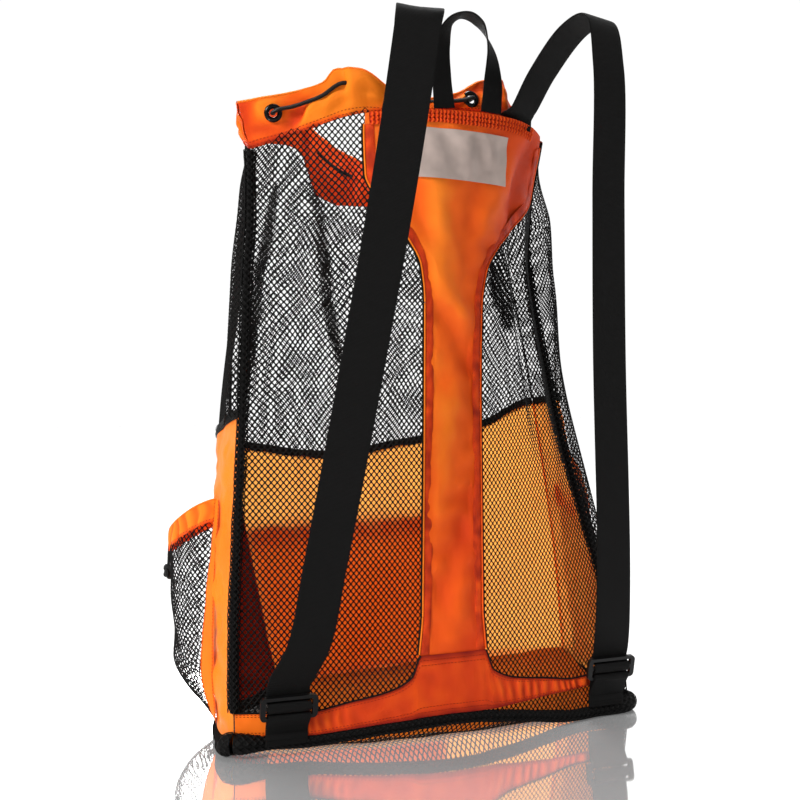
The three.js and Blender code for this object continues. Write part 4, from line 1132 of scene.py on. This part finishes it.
# Creases of the spine: middle, direction from the horizontal, half length, half width and the ridge's height
SPINE_CREASES = records(
    "x z angle length width out",
    (-0.010, 0.400, -50, 0.045, 0.010, 0.0030),
    (0.012, 0.345, -58, 0.050, 0.012, -0.0030),
    (-0.012, 0.250, 80, 0.070, 0.012, 0.0028),
    (0.010, 0.190, 70, 0.060, 0.010, -0.0026),
    (0.004, 0.120, 84, 0.050, 0.011, 0.0026),
    (0.040, 0.480, 62, 0.060, 0.014, 0.0032),
    (0.078, 0.500, 80, 0.040, 0.012, -0.0036),
    (-0.020, 0.460, 100, 0.050, 0.013, 0.0030),
    (-0.045, 0.490, 112, 0.050, 0.012, -0.0030),
    (0.015, 0.460, 85, 0.050, 0.010, -0.0026),
)
CREASE_DEPTH = 1.4
SPINE_CRUMPLE = 0.0010


def spine_relief(x, z):
    total = SPINE_CRUMPLE * ripple(x, z, 0.035, 31)
    for crease in SPINE_CREASES:
        angle = math.radians(crease["angle"])
        along = (x - crease["x"]) * math.cos(angle) + (z - crease["z"]) * math.sin(angle)
        across = (z - crease["z"]) * math.cos(angle) - (x - crease["x"]) * math.sin(angle)
        near = bell(along / crease["length"]) * bell(across / crease["width"])
        total = total + CREASE_DEPTH * crease["out"] * near
    return total


HEM = {"width": 0.0085, "swell": 0.0010, "pucker": 0.0005, "top": 0.540}
SPINE_OFF = 0.0012
SPINE_TUCK = 0.005
SPINE_FADE = {"edge": 0.012, "foot": 0.015}
PIPING = {"bright": 0.0006, "brightRadius": 0.0008, "dark": 0.0020, "darkRadius": 0.0009, "rise": 0.0004}
TOP_LINE = 0.553
TOP_CLEAR = 0.0003


def spine_top(x):
    return rim_height("back", share_at("back", x, TOP_LINE + 0 * x))


def make_spine():
    u, v = flat_grid(90, 240)
    foot, top = SPINE["z"][0], SPINE["z"][-1]
    head = mix(spine_edge(-1, top), spine_edge(1, top), u)
    z = mix(foot - SPINE_TUCK, spine_top(head) - TOP_CLEAR, v)
    left, right = spine_edge(-1, z), spine_edge(1, z)
    x = mix(left, right, u)
    edge = np.minimum(x - left, right - x)
    fade = clamp(edge / SPINE_FADE["edge"]) * clamp((z - foot) / SPINE_FADE["foot"])
    relief = spine_relief(x, z) * fade
    points = wall_at("back", x, z, (SPINE_OFF + relief)[..., None])
    piece = Piece()
    # Painted shade: the spine is darker overall, towards the right and towards the bottom, and in the hollows
    # of its creases, lighter on their ridges.
    low = clamp((0.30 - z) / 0.20)
    shade = 0.24 + 0.36 * np.clip(x / 0.09, -0.25, 1) + 0.20 * low - 0.10 * np.clip(relief / 0.003, -1, 1)
    piece.grid(points, shade)
    flat = Patch(lambda a, b: wall_at("back", a, b), (-0.12, 0.12), (0.06, 0.557))
    rows = np.linspace(foot, HEM["top"], 260)
    for sign in (-1, 1):
        w = np.linspace(0, 1, 7)[None, :]
        edge_x = spine_edge(sign, rows)
        slope = np.gradient(edge_x, rows)
        lean = 1 / np.sqrt(1 + slope ** 2)
        wide = HEM["width"] * (0.95 + 0.12 * ripple(rows, 0 * rows, 0.05, 41))
        hem_x = edge_x[:, None] - sign * (w * wide[:, None]) * lean[:, None]
        hem_z = rows[:, None] + w * (slope * lean * sign * wide)[:, None]
        swell = SPINE_OFF + HEM["swell"] * arch(clamp(w * 1.02)) ** 0.5
        pucker = HEM["pucker"] * ripple(hem_z, hem_x, 0.012, 43) * arch(w)
        hem = flat.at(hem_x, hem_z, swell + pucker)
        # Painted shade: the ruffled, doubled hem is darker, in uneven patches.
        piece.grid(hem, 0.62 + 0.18 * ripple(hem_z, hem_x, 0.02, 44))
        normals = -sign * grid_normals(hem)
        for row in (1, 5):
            piece.stitches(hem[:, row], normals[:, row], lift=LOW_STITCH)
        # The thin bright piping carries a painted highlight along the left edge and is darker on the right;
        # the dark piping is the black edge line.
        bright = flat.at(edge_x + sign * PIPING["bright"], rows, SPINE_OFF + PIPING["rise"] + 0 * rows)
        piece.tube(bright, PIPING["brightRadius"], 6, 0.0 if sign < 0 else 0.3)
        dark = flat.at(edge_x + sign * PIPING["dark"], rows, SPINE_OFF + 0 * rows)
        piece.tube(dark, PIPING["darkRadius"], 6, 0.0, 1)
    piece.build("spine_cloth", NYLON, "spine_panel", slot="nylon", more=(NET,))


BAND = {"off": 0.0022, "crumple": 0.0005, "pleat": 0.0095, "piping": 0.0008, "rise": 0.0002}
BAND_PUCKER = records("x width out", (0.075, 0.030, 0.0022), (0.140, 0.035, 0.0030), (-0.125, 0.030, 0.0020))


def make_base_band():
    u, v = flat_grid(320, 26)
    x = mix(BAND_END["left"], BAND_END["right"], u)
    low = column(BASE_BAND, "x", "low", np.abs(x)) + BAND_CLIMB["low"] * climb(x)
    high = column(BASE_BAND, "x", "high", np.abs(x)) + BAND_CLIMB["high"] * climb(x)
    z = mix(low, high, v)
    relief = BAND["crumple"] * ripple(x, z, 0.03, 51)
    for row in BAND_PUCKER:
        near = bell((x - row["x"]) / row["width"])
        waves = np.sin(2 * np.pi * (x + 0.2 * (z - 0.03)) / BAND["pleat"] + 2.0 * ripple(x, z, 0.06, 52))
        relief = relief + row["out"] * 0.45 * near * waves * arch(v)
    fade = np.minimum(1, 12 * v * (1 - v))
    points = wall_at("back", x, z, (BAND["off"] + relief * fade)[..., None])
    piece = Piece()
    # Painted shade: the band is darker overall, darker still on its doubled edges and in the hollows of its
    # puckers, and only a quarter as dark at its left end.
    hem = np.maximum(clamp(1 - v * 7), clamp(1 - (1 - v) * 7))
    shade = 0.5 * hem + 0.20 * np.clip(-relief / 0.0012, -1, 1) + 0.48
    shade = np.where(x < -0.13, shade * 0.25, shade)
    piece.grid(points, shade)
    normals = grid_normals(points)
    for row in (2, 4, 21, 23):
        piece.stitches(points[:, row], normals[:, row], lift=LOW_STITCH)
    edge = points[:, -1] + normals[:, -1] * BAND["rise"]
    beside = BASE_BAND["x"][1]
    for part in (x[:, -1] < -beside, x[:, -1] > beside):
        piece.tube(edge[part], BAND["piping"], 6, 0.0, 1)
    piece.build("base_band_cloth", NYLON, "base_band", slot="nylon", more=(NET,))


def make_shirring():
    u, v = flat_grid(400, 22)
    x = mix(SHIRRED["left"], SHIRRED["right"], u)
    high = np.minimum(SHIRRED["high"], spine_top(x) - TOP_CLEAR)
    z = mix(high - (SHIRRED["high"] - SHIRRED["low"]), high, v)
    zigzag = np.abs(((v * 3 + 0.25 * ripple(x, z, 0.02, 61)) % 1) - 0.5) * 2
    gather = np.sin(2 * np.pi * (x / SHIRRED["gather"] + 0.30 * zigzag) + 1.5 * ripple(x, 0 * x, 0.03, 62))
    relief = SHIRRED["relief"] * gather * arch(np.clip(v, 0.06, 0.94)) ** 0.5
    channel = bell(np.abs(v[..., None] - SHIRRED["channels"]).min(-1) / SHIRRED["channelWidth"])
    points = wall_at("back", x, z, (SHIRRED["off"] + relief - SHIRRED["channel"] * channel)[..., None])
    piece = Piece()
    # Painted shade: the shirring is dark overall, darker in the hollows of the gathers and along the stitched
    # channels, lighter on the ridges.
    piece.grid(points, 0.52 - 0.22 * gather + 0.20 * channel)
    piece.build("shirred_elastic", NYLON, "shirred_band", slot="nylon")


def make_patch():
    u, v = flat_grid(110, 50)
    x = mix(PATCH["left"], PATCH["right"], u)
    z = mix(PATCH["low"], PATCH["high"], v)
    slant = 2 * np.pi * (x + 0.25 * (z - 0.52)) / PATCH["foldWidth"]
    folds = PATCH["fold"] * np.sin(slant + 0.8) * (0.4 + 0.6 * v)
    folds = folds + PATCH["crumple"] * ripple(x, z * 0.4, 0.03, 71)
    edge = np.minimum(np.minimum(u, 1 - u), np.minimum(v, 1 - v))
    off = PATCH["off"] + spine_relief(x, z) + folds * np.clip(edge * 8, 0.25, 1)
    points = wall_at("back", x, z, off[..., None])
    piece = Piece()
    piece.grid(points)
    piece.build("reflective_cloth", SILVER, "reflective_patch", slot="reflective")


# Collar

def collar_point(at, up, out):
    """Points of the collar by the share of the way round and up it, standing off by out."""
    at = np.asarray(at, float) % 4
    rim = np.zeros(np.broadcast(at, up).shape + (3,))
    at, up = np.broadcast_arrays(at, np.asarray(up, float))
    for index, side in enumerate(SIDES):
        here = np.floor(at) == index
        if here.any():
            rim[here] = surface(side, at[here] % 1, np.ones(here.sum()))
    away = unit(rim[..., :2] - MOUTH)
    off = mix(column(COLLAR, "at", "foot", at), column(COLLAR, "at", "lean", at), up) + out
    z = mix(rim[..., 2] + COLLAR_LIFT, column(COLLAR, "at", "top", at), up)
    return np.concatenate([rim[..., :2] + away * off[..., None], z[..., None]], -1)


def collar_frame(at, up):
    step = 0.02
    place = collar_point(at, up, 0.0)
    along = collar_point(at + step, up, 0.0) - collar_point(at - step, up, 0.0)
    rise = collar_point(at, up + step, 0.0) - collar_point(at, up - step, 0.0)
    return place, unit(np.cross(along, rise))


# Dark binding of the casing's slit on the far inner face
RIDGE = {"at": (2.72, 2.56), "up": (0.66, 0.58), "in": 0.0045, "radius": 0.0016}
LIP = {"from": 0.195, "to": 0.30, "out": 0.0075, "start": 0.012, "end": 0.05}
GATHER = {"large": 0.0040, "small": 0.0016, "side": 0.27}
CASING = {"outer": 0.0006, "inner": -0.0012, "edge": -0.0003, "edgeRadius": 0.0011, "holeClear": 0.0012}


def collar_relief(at, up):
    """Soft gathers of the collar, and the lip that falls over the cord beside its peak."""
    around = at * GATHER["side"]
    folds = GATHER["large"] * ripple(around, up * 0.02, 0.035, 81)
    folds = folds + GATHER["small"] * ripple(around, up * 0.03, 0.013, 82)
    lip = clamp((at - LIP["from"]) / LIP["start"]) * clamp((LIP["to"] - at) / LIP["end"])
    fade = arch(np.clip(up, 0.1, 0.95)) ** 0.7
    return folds * fade + LIP["out"] * lip * clamp(up * 2.2 - 0.4)


def make_collar():
    holes = [collar_frame(at, up)[0] for at, up in GROMMETS.values()]

    def keep(middle):
        far = np.ones(middle.shape[:-1], bool)
        for hole in holes:
            far &= np.linalg.norm(middle - hole, axis=-1) > GROMMET_HOLE + CASING["holeClear"]
        return far

    u, v = flat_grid(460, 24)
    at = u * 4
    piece = Piece()
    relief = collar_relief(at, v)
    # Painted shade and highlight: darker along the stitched lower edge, in the hollows of the gathers, at the
    # back left corner and from the middle of the back on round the rest, lighter at the peak.
    hem = clamp(1 - v * 6) * 0.55
    gather = np.clip(-relief / 0.003, -1, 1) * 0.30
    ends = clamp(1 - at / 0.07) + clamp((at - 0.45) * 5)
    peak = bell((at - 0.22) / 0.06)
    outer = collar_point(at, v, relief + CASING["outer"])
    piece.grid(outer, 0.16 + hem + 1.3 * gather + 0.35 * ends - 0.4 * peak, keep=keep)
    # Painted shade: the inner face is darker than the outer one, a touch darker still on the far side.
    far = clamp((at - 1.7) * 4) * clamp((3.7 - at) * 4)
    piece.grid(collar_point(at, v, relief + CASING["inner"]), 0.35 + 0.02 * far, keep=keep)
    piece.tube(collar_point(at[:, -1], 1.0, relief[:, -1] + CASING["edge"]), CASING["edgeRadius"], 8, 0.1)
    normals = grid_normals(outer)
    for row in (1, 3):
        piece.stitches(outer[:, row], normals[:, row], lift=LOW_STITCH)
    share = np.linspace(0, 1, 30)
    ridge = collar_point(mix(*RIDGE["at"], share), mix(*RIDGE["up"], share), -RIDGE["in"])
    piece.tube(ridge, RIDGE["radius"], 8, 0.0, 1)
    piece.build("collar_cloth", NYLON, "collar", slot="nylon", more=(WEBBING,))


def make_grommets():
    profile = records(
        "r out",
        (0.90, -0.0010), (0.88, 0.0004), (0.96, 0.0013), (1.15, 0.0019), (1.45, 0.0021), (1.75, 0.0016),
        (1.92, 0.0008), (1.94, 0.0002), (1.60, 0.0),
    )
    for name, (at, up) in GROMMETS.items():
        place, normal = collar_frame(at, up)
        place = place + normal * (GROMMET_STAND + collar_relief(at, up))
        side = unit(np.cross(normal, [0, 0, 1]))
        top = np.cross(side, normal)
        angle = np.linspace(0, 2 * np.pi, 49)[:, None]
        rings = []
        for row in profile:
            ring = side * np.cos(angle) + top * np.sin(angle)
            rings.append(place + ring * row["r"] * GROMMET_HOLE + normal * row["out"])
        piece = Piece()
        piece.grid(np.stack(rings, 1))
        piece.build(f"grommet_ring_{name}", ENAMEL, f"grommet_{name}", slot="grommet")


def catmull(points, shares):
    """Points of a centripetal curve through stations, at shares of their count."""
    points = np.asarray(points, float)
    ends = np.concatenate([[2 * points[0] - points[1]], points, [2 * points[-1] - points[-2]]])
    place = np.asarray(shares) * (len(points) - 1)
    i = np.minimum(place.astype(int), len(points) - 2)
    s = (place - i)[:, None]
    p0, p1, p2, p3 = (ends[i + k] for k in range(4))

    def gap(p, q):
        return np.maximum(np.sum((q - p) ** 2, -1, keepdims=True), 1e-12) ** 0.25

    d0, d1, d2 = gap(p0, p1), gap(p1, p2), gap(p2, p3)
    start = (p1 - p0) / d0 - (p2 - p0) / (d0 + d1) + (p2 - p1) / d1
    end = (p2 - p1) / d1 - (p3 - p1) / (d1 + d2) + (p3 - p2) / d2
    return hermite(p1, p2, start * d1, end * d1, s)


def path_length(path):
    return float(distances(path)[-1])


def make_drawcord():
    stations = []
    ends = {name: collar_frame(at, up) for name, (at, up) in GROMMETS.items()}
    place, normal = ends["left"]
    stations += [place - normal * CORD_TUCK, place + normal * (CORD_STAND + CORD_RISE["left"])]
    for row in DRAWCORD:
        stations.append(collar_point(row["at"], row["up"], CORD_STAND + row["lift"]))
    place, normal = ends["right"]
    stations += [place + normal * (CORD_STAND + CORD_RISE["right"]), place - normal * CORD_TUCK]
    path = catmull(stations, np.linspace(0, 1, 160))
    piece = Piece()
    piece.tube(path, CORD_DIAMETER / 2, 12)
    cord = piece.build("drawcord_braid", CORD, "drawcord", slot="cord")
    tuple(path[0])
    path_length(path)


# Pockets

def pocket_lift(z):
    """How far a side pocket has opened at a height, from 0 at its foot to 1."""
    return np.sin(np.pi / 2 * clamp((z - POCKET["low"]) / POCKET["taper"]))


def gusset(side, z):
    """How far the back edge of a side pocket stands off the wall: most near its foot."""
    up = clamp((z - GUSSET_FADE["from"]) / GUSSET_FADE["over"])
    return POCKET_GUSSET[side] * pocket_lift(z) * mix(1, GUSSET_FADE["share"], up)


def pocket_top(side, u):
    return column(POCKET_TOP, "u", side, u)


def pocket_point(side, u, z, out):
    share = mix(POCKET["front"], POCKET_BACK[side], u)
    t = share if side == "left" else 1 - share
    lift = pocket_lift(z)
    belly = np.maximum(arch(u) * lift, 0) ** POCKET["fullness"]
    off = POCKET["off"] + POCKET_BULGE[side] * belly + gusset(side, z) * u ** GUSSET_REACH + out
    return wall(side, t, z / rim_height(side, t), off[..., None])


def make_pocket(side):
    sense = 1 if side == "left" else -1
    cloth = POCKET_CLOTH[side]

    def place(a, b):
        u = clamp(a * sense / cloth)
        folds = POCKET["fold"] * ripple(u * cloth, b * 0.5, 0.03, 91) * arch(u)
        return pocket_point(side, u, b, folds)

    span = (0, cloth) if sense > 0 else (-cloth, 0)
    patch = Patch(place, span, (POCKET["low"], POCKET["highest"]), SIDE_STEP)

    def inside(a, b):
        u = a * sense / cloth
        high = pocket_top(side, clamp(u)) - POCKET["hem"] + POCKET["hemTuck"]
        return (u > 0.005) & (u < 0.995) & (b > POCKET["low"]) & (b < high)
    piece = Piece()
    add_net(piece, patch, inside)
    piece.build(f"pocket_net_{side}", NET, f"pocket_{side}", slot="mesh")

    u, v = flat_grid(150, 18)
    z = mix(pocket_top(side, u) - POCKET["hem"], pocket_top(side, u), v)
    gather = np.sin(2 * np.pi * u * POCKET_HEM["gathers"] + 1.6 * ripple(u, v * 0.2, 0.3, 92))
    relief = POCKET_HEM["stand"] + POCKET_HEM["gather"] * gather * arch(np.clip(v, 0.15, 1)) ** 0.5
    relief = relief * np.minimum(1, 10 * u * (1 - u))
    outer = pocket_point(side, u, z, relief + POCKET_HEM["outer"])
    piece = Piece()
    # Painted shade: the hem is darker in the hollows of its gathers and along its stitched lower edge,
    # lighter on the ridges; its inner face is painted in shade.
    piece.grid(outer, 0.1 - 0.12 * gather + 0.35 * clamp(1 - v * 6))
    piece.grid(pocket_point(side, u, z, relief + POCKET_HEM["inner"]), 0.3)
    edge = pocket_point(side, u[:, -1], z[:, -1], relief[:, -1] + POCKET_HEM["edge"])
    piece.tube(edge, POCKET_HEM["edgeRadius"], 8, 0.1)
    normals = grid_normals(outer) * sense
    piece.stitches(outer[:, 2], normals[:, 2], lift=LOW_STITCH)
    piece.build(f"pocket_hem_cloth_{side}", NYLON, f"pocket_hem_{side}", slot="nylon")


def make_pocket_edge():
    u, v = flat_grid(20, 90)
    t = mix(*POCKET_EDGE["t"], u)
    z = mix(POCKET["low"], pocket_top("left", 1.0), v)
    relief = POCKET_EDGE["off"] + gusset("left", z) * (1 - u) + POCKET_EDGE["swell"] * arch(u)
    relief = relief + POCKET_EDGE["crumple"] * ripple(u * 0.02, z, 0.03, 93)
    points = wall("left", t, z / rim_height("left", t), relief[..., None])
    piece = Piece()
    # Painted shade: the strip darkens towards both of its folded edges.
    piece.grid(points, 0.08 + 0.2 * clamp(np.abs(u - 0.5) * 8 - 3))
    normals = grid_normals(points)
    for row in (2, 17):
        piece.stitches(points[row], normals[row], lift=LOW_STITCH)
    piece.build("pocket_edge_cloth", NYLON, "pocket_edge_left", slot="nylon")


def make_pocket_cord():
    start = pocket_point("left", POCKET_CORD["u"], POCKET_CORD["exit"], POCKET_CORD["stand"])
    knot = pocket_point("left", POCKET_CORD["u"], POCKET_CORD["knot"], KNOT["diameter"] / 2 + KNOT["stand"])
    middle = mix(start, knot, 0.5) + CORD_SAG["middle"]
    path = catmull([start, mix(start, middle, 0.5) + CORD_SAG["upper"], middle, knot], np.linspace(0, 1, 40))
    piece = Piece()
    piece.tube(path, POCKET_CORD["diameter"] / 2, 12)
    cord = piece.build("pocket_cord_braid", CORD, "pocket_cord_left", slot="cord")
    angle = np.linspace(0, 2 * np.pi, 121)
    radius = KNOT["radius"] + KNOT["wave"] * np.cos(3 * angle)
    loops = [KNOT["depth"] * np.sin(3 * angle), radius * np.cos(2 * angle), radius * np.sin(2 * angle)]
    ball = Piece()
    ball.tube(knot + np.stack(loops, -1), KNOT["strand"], 10)
    tie = ball.build("pocket_cord_knot", CORD, "pocket_knot_left", slot="cord")
    tuple(path[0])
    path_length(path)


# Webbing

def yaw_direction(degrees):
    angle = np.radians(degrees)
    return np.stack([np.cos(angle), np.sin(angle), 0 * angle], -1)


def add_ribbon(piece, path, across, width, thick):
    """Flat webbing with soft edges along a path; across is the direction of its width."""
    tangent = unit(np.gradient(path, axis=0))
    across = unit(across - tangent * np.sum(across * tangent, -1, keepdims=True))
    face = np.cross(tangent, across)
    angle = np.linspace(0, 2 * np.pi, 25)
    a = np.sign(np.cos(angle)) * np.abs(np.cos(angle)) ** 0.22 * width / 2
    f = np.sign(np.sin(angle)) * np.abs(np.sin(angle)) ** 0.6 * thick / 2
    points = path[:, None] + across[:, None] * a[:, None] + face[:, None] * f[:, None]
    uv = np.stack(np.broadcast_arrays(a[None, :], distances(path)[:, None]), -1)
    piece.grid(points, uv=uv)


def spread(stations, shares):
    """Values of stations at shares of their count, blended in straight steps."""
    stations = np.asarray(stations, float)
    place = np.asarray(shares) * (len(stations) - 1)
    return along_path(stations, np.arange(len(stations)), place)


def tab_frame(strap):
    """Frame of a tab on the base band: seat, straight out, and across its webbing."""
    across = yaw_direction(strap["yawFoot"])
    out = np.array([across[1], -across[0], 0])
    seat = wall_at("back", strap["tabX"], TAB["stemTop"]) * [1, 1, 0]
    x = np.clip(strap["tabX"] + np.linspace(-0.5, 0.5, 9) * TAB["width"], *TAB["between"])
    reach = max(((wall_at("back", x, z + 0 * x, TAB["clear"]) - seat) @ out).max()
                for z in (TAB["low"], TAB["stemTop"]))
    return seat + out * max(reach, 0), out, across


def buckle_frame(strap):
    seat, out, across = tab_frame(strap)
    up = np.array([0, 0, math.cos(BUCKLE_TILT)]) + out * math.sin(BUCKLE_TILT)
    middle = (seat + out * BUCKLE_STAND) * [1, 1, 0] + [0, 0, strap["buckleZ"]]
    return middle, across, up, np.cross(across, up)


def make_strap(name, strap):
    start = surface("back", share_at("back", strap["sewnX"], TOP_LINE), 1.0)
    top_across = yaw_direction(strap["yawTop"])
    top_out = np.array([top_across[1], -top_across[0], 0])
    stations, across = [], []
    for row in SEWN_END:
        stations.append(start + top_out * row["out"] + [0, 0, row["up"]])
        across.append(yaw_direction(strap["yawTop"] * row["turn"]))
    count = len(strap["run"]) + 1
    for i, point in enumerate(strap["run"]):
        stations.append(np.array(point))
        across.append(yaw_direction(mix(strap["yawTop"], strap["yawFoot"], (i + 1) / count)))
    middle, wide, up, face = buckle_frame(strap)
    half, foot = BUCKLE["thick"] / 2, -BUCKLE_HEIGHT / 2
    low_top = foot + BUCKLE["bar"] + BUCKLE["lowSlot"]
    high_low = low_top + BUCKLE["bar"]
    high_middle = high_low + BUCKLE["highSlot"] / 2
    threading = records(
        "rise forward",
        (BUCKLE_HEIGHT / 2 + 0.008, -0.0015 - half),
        (BUCKLE_HEIGHT / 2 - 0.002, -0.0019 - half),
        (high_middle, 0.0002 - half),
        (high_middle, half),
        ((high_low + low_top) / 2, half + 0.0013),
        (low_top - 0.0019, half),
        (low_top - 0.0021, -half),
    )
    for row in threading:
        stations.append(middle + up * row["rise"] + face * row["forward"])
        across.append(wide)
    shares = np.linspace(0, 1, 420)
    piece = Piece()
    add_ribbon(piece, catmull(stations, shares), spread(across, shares), STRAP_WIDTH, STRAP_THICK)
    piece.build(f"strap_webbing_{name}", WEBBING, f"strap_{name}", slot="webbing")


def make_tab(name, strap):
    seat, out, across = tab_frame(strap)
    bar = -BUCKLE_HEIGHT / 2 + BUCKLE["bar"] / 2
    loop_out = BUCKLE_STAND + bar * math.sin(BUCKLE_TILT)
    loop_z = strap["buckleZ"] + bar * math.cos(BUCKLE_TILT)
    radius = TAB["radius"]
    angle = np.radians(np.linspace(165, -55, 12))
    profile = [(0.0011, TAB["low"]), (0.0011, 0.020), (0.0013, 0.026)]
    profile += [(loop_out + radius * math.cos(a), loop_z + radius * math.sin(a)) for a in angle]
    profile += [(0.0029, 0.025), (0.0027, 0.019), (0.0027, TAB["low"])]
    path = np.array([seat + out * o + [0, 0, z] for o, z in profile])
    path = catmull(path, np.linspace(0, 1, 120))
    piece = Piece()
    add_ribbon(piece, path, np.broadcast_to(across, path.shape), TAB["width"], TAB["thick"])
    row = np.linspace(-0.46, 0.46, 60)[:, None] * TAB["width"] * across
    for z in TAB["stitchRows"]:
        line = seat + out * TAB["stitchOut"] + [0, 0, z] + row
        piece.stitches(line, np.broadcast_to(out, line.shape), pitch=0.0024, lift=0.0)
    piece.build(f"tab_webbing_{name}", WEBBING, f"strap_tab_{name}", slot="webbing")


def make_buckle(name):
    """The buckle's own solid with its edges rounded."""
    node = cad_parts[f"buckle_{name}"]
    mesh = node.data.copy()
    mesh.materials.clear()
    mesh.materials.append(PLASTIC)
    buckle = put(f"buckle_moulding_{name}", mesh)
    weld = buckle.modifiers.new("weld", "WELD")
    weld.merge_threshold = 0.00002
    bevel = buckle.modifiers.new("bevel", "BEVEL")
    bevel.width = 0.0009
    bevel.segments = 3
    bevel.limit_method = "ANGLE"
    bevel.angle_limit = math.radians(40)
    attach(buckle, BODY)
    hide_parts(f"buckle_{name}")


def make_haul_loop():
    stations, across = [], []
    for row in HAUL_LOOP:
        foot = surface("back", share_at("back", row["x"], TOP_LINE), 1.0)
        stations.append([row["x"], foot[1] - row["out"], row["z"]])
        across.append(yaw_direction(row["yaw"]))
    shares = np.linspace(0, 1, 200)
    piece = Piece()
    add_ribbon(piece, catmull(stations, shares), spread(across, shares), LOOP_WIDTH, STRAP_THICK)
    piece.build("haul_loop_webbing", WEBBING, "haul_loop", slot="webbing")


# Stage

CAMERA = {"place": (-0.4573, -1.0284, 0.3297), "yaw": 24.0, "pitch": -1.4, "lens": 51.75, "sensor": 36.0}


def make_camera():
    data = bpy.data.cameras.new("camera")
    data.lens = CAMERA["lens"]
    data.sensor_width = CAMERA["sensor"]
    data.clip_end = 50
    camera = put("camera", data)
    camera.location = CAMERA["place"]
    camera.rotation_euler = (math.radians(90 + CAMERA["pitch"]), 0, math.radians(-CAMERA["yaw"]))
    bpy.context.scene.camera = camera


LIGHTS = records(
    "name place target size watts",
    ("key_light", (-2.1, -0.95, 1.5), (0, 0, 0.3), 0.6, 62),
    ("fill_light", (1.8, -1.5, 1.2), (0, 0, 0.3), 1.4, 8),
    ("back_light", (0.5, 2.0, 1.3), (0, 0, 0.25), 1.6, 56),
    ("top_light", (0.05, 0.10, 1.7), (0.02, 0, 0), 0.5, 26),
)
ROOM = 0.20


def make_lights():
    for row in LIGHTS:
        data = bpy.data.lights.new(row["name"], "AREA")
        data.size = row["size"]
        data.energy = row["watts"]
        light = put(row["name"], data)
        light.location = row["place"]
        aim = np.array(row["target"]) - np.array(row["place"])
        lean = math.atan2(math.hypot(aim[0], aim[1]), -aim[2])
        light.rotation_euler = (lean, 0, math.atan2(-aim[0], aim[1]))
    world = bpy.data.worlds.new("studio")
    world.use_nodes = True
    nodes, links = world.node_tree.nodes, world.node_tree.links
    facing = nodes.new("ShaderNodeVectorMath")
    facing.operation = "DOT_PRODUCT"
    yaw = math.radians(CAMERA["yaw"])
    facing.inputs[1].default_value = (math.sin(yaw), math.cos(yaw), 0)
    links.new(nodes.new("ShaderNodeTexCoord").outputs["Generated"], facing.inputs[0])
    room = color_ramp(nodes, (0.0, (ROOM, ROOM, ROOM)), (0.65, (1, 1, 1)))
    links.new(facing.outputs["Value"], room.inputs["Fac"])
    links.new(room.outputs["Color"], nodes["Background"].inputs["Color"])
    nodes["Background"].inputs["Strength"].default_value = 1.02
    bpy.context.scene.world = world
    bpy.context.scene.view_settings.view_transform = "Standard"


FLOOR_HALF = 6.0
FLOOR_GLOSS = 0.80


def make_floor():
    material, nodes, links, shader = new_material("pale_floor")
    shader.inputs["Base Color"].default_value = (0.95, 0.95, 0.95, 1)
    shader.inputs["Roughness"].default_value = 0.7
    shader.inputs["Emission Color"].default_value = (1, 1, 1, 1)
    shader.inputs["Emission Strength"].default_value = 0.55
    gloss = nodes.new("ShaderNodeBsdfGlossy")
    gloss.inputs["Color"].default_value = (1, 1, 1, 1)
    gloss.inputs["Roughness"].default_value = 0.05
    blend(nodes, links, shader, gloss, FLOOR_GLOSS)
    corners = [(x * FLOOR_HALF, y * FLOOR_HALF, 0) for x, y in ((-1, -1), (1, -1), (1, 1), (-1, 1))]
    mesh = bpy.data.meshes.new("floor")
    mesh.from_pydata(corners, [], [(0, 1, 2, 3)])
    mesh.materials.append(material)
    floor = put("floor", mesh)


make_camera()
make_drawcord()
make_pocket_cord()
make_back_nets()
make_front_net()
make_base_net()
make_corner_seams()
make_base_roll()
make_bindings()
make_wall_panels()
make_front_pocket()
make_spine()
make_base_band()
make_shirring()
make_patch()
make_collar()
make_grommets()
for side in ("left", "right"):
    make_side_net(side)
    make_pocket(side)
    make_strap(side, STRAPS[side])
    make_tab(side, STRAPS[side])
    make_buckle(side)
make_pocket_edge()
make_haul_loop()
make_lights()
make_floor()
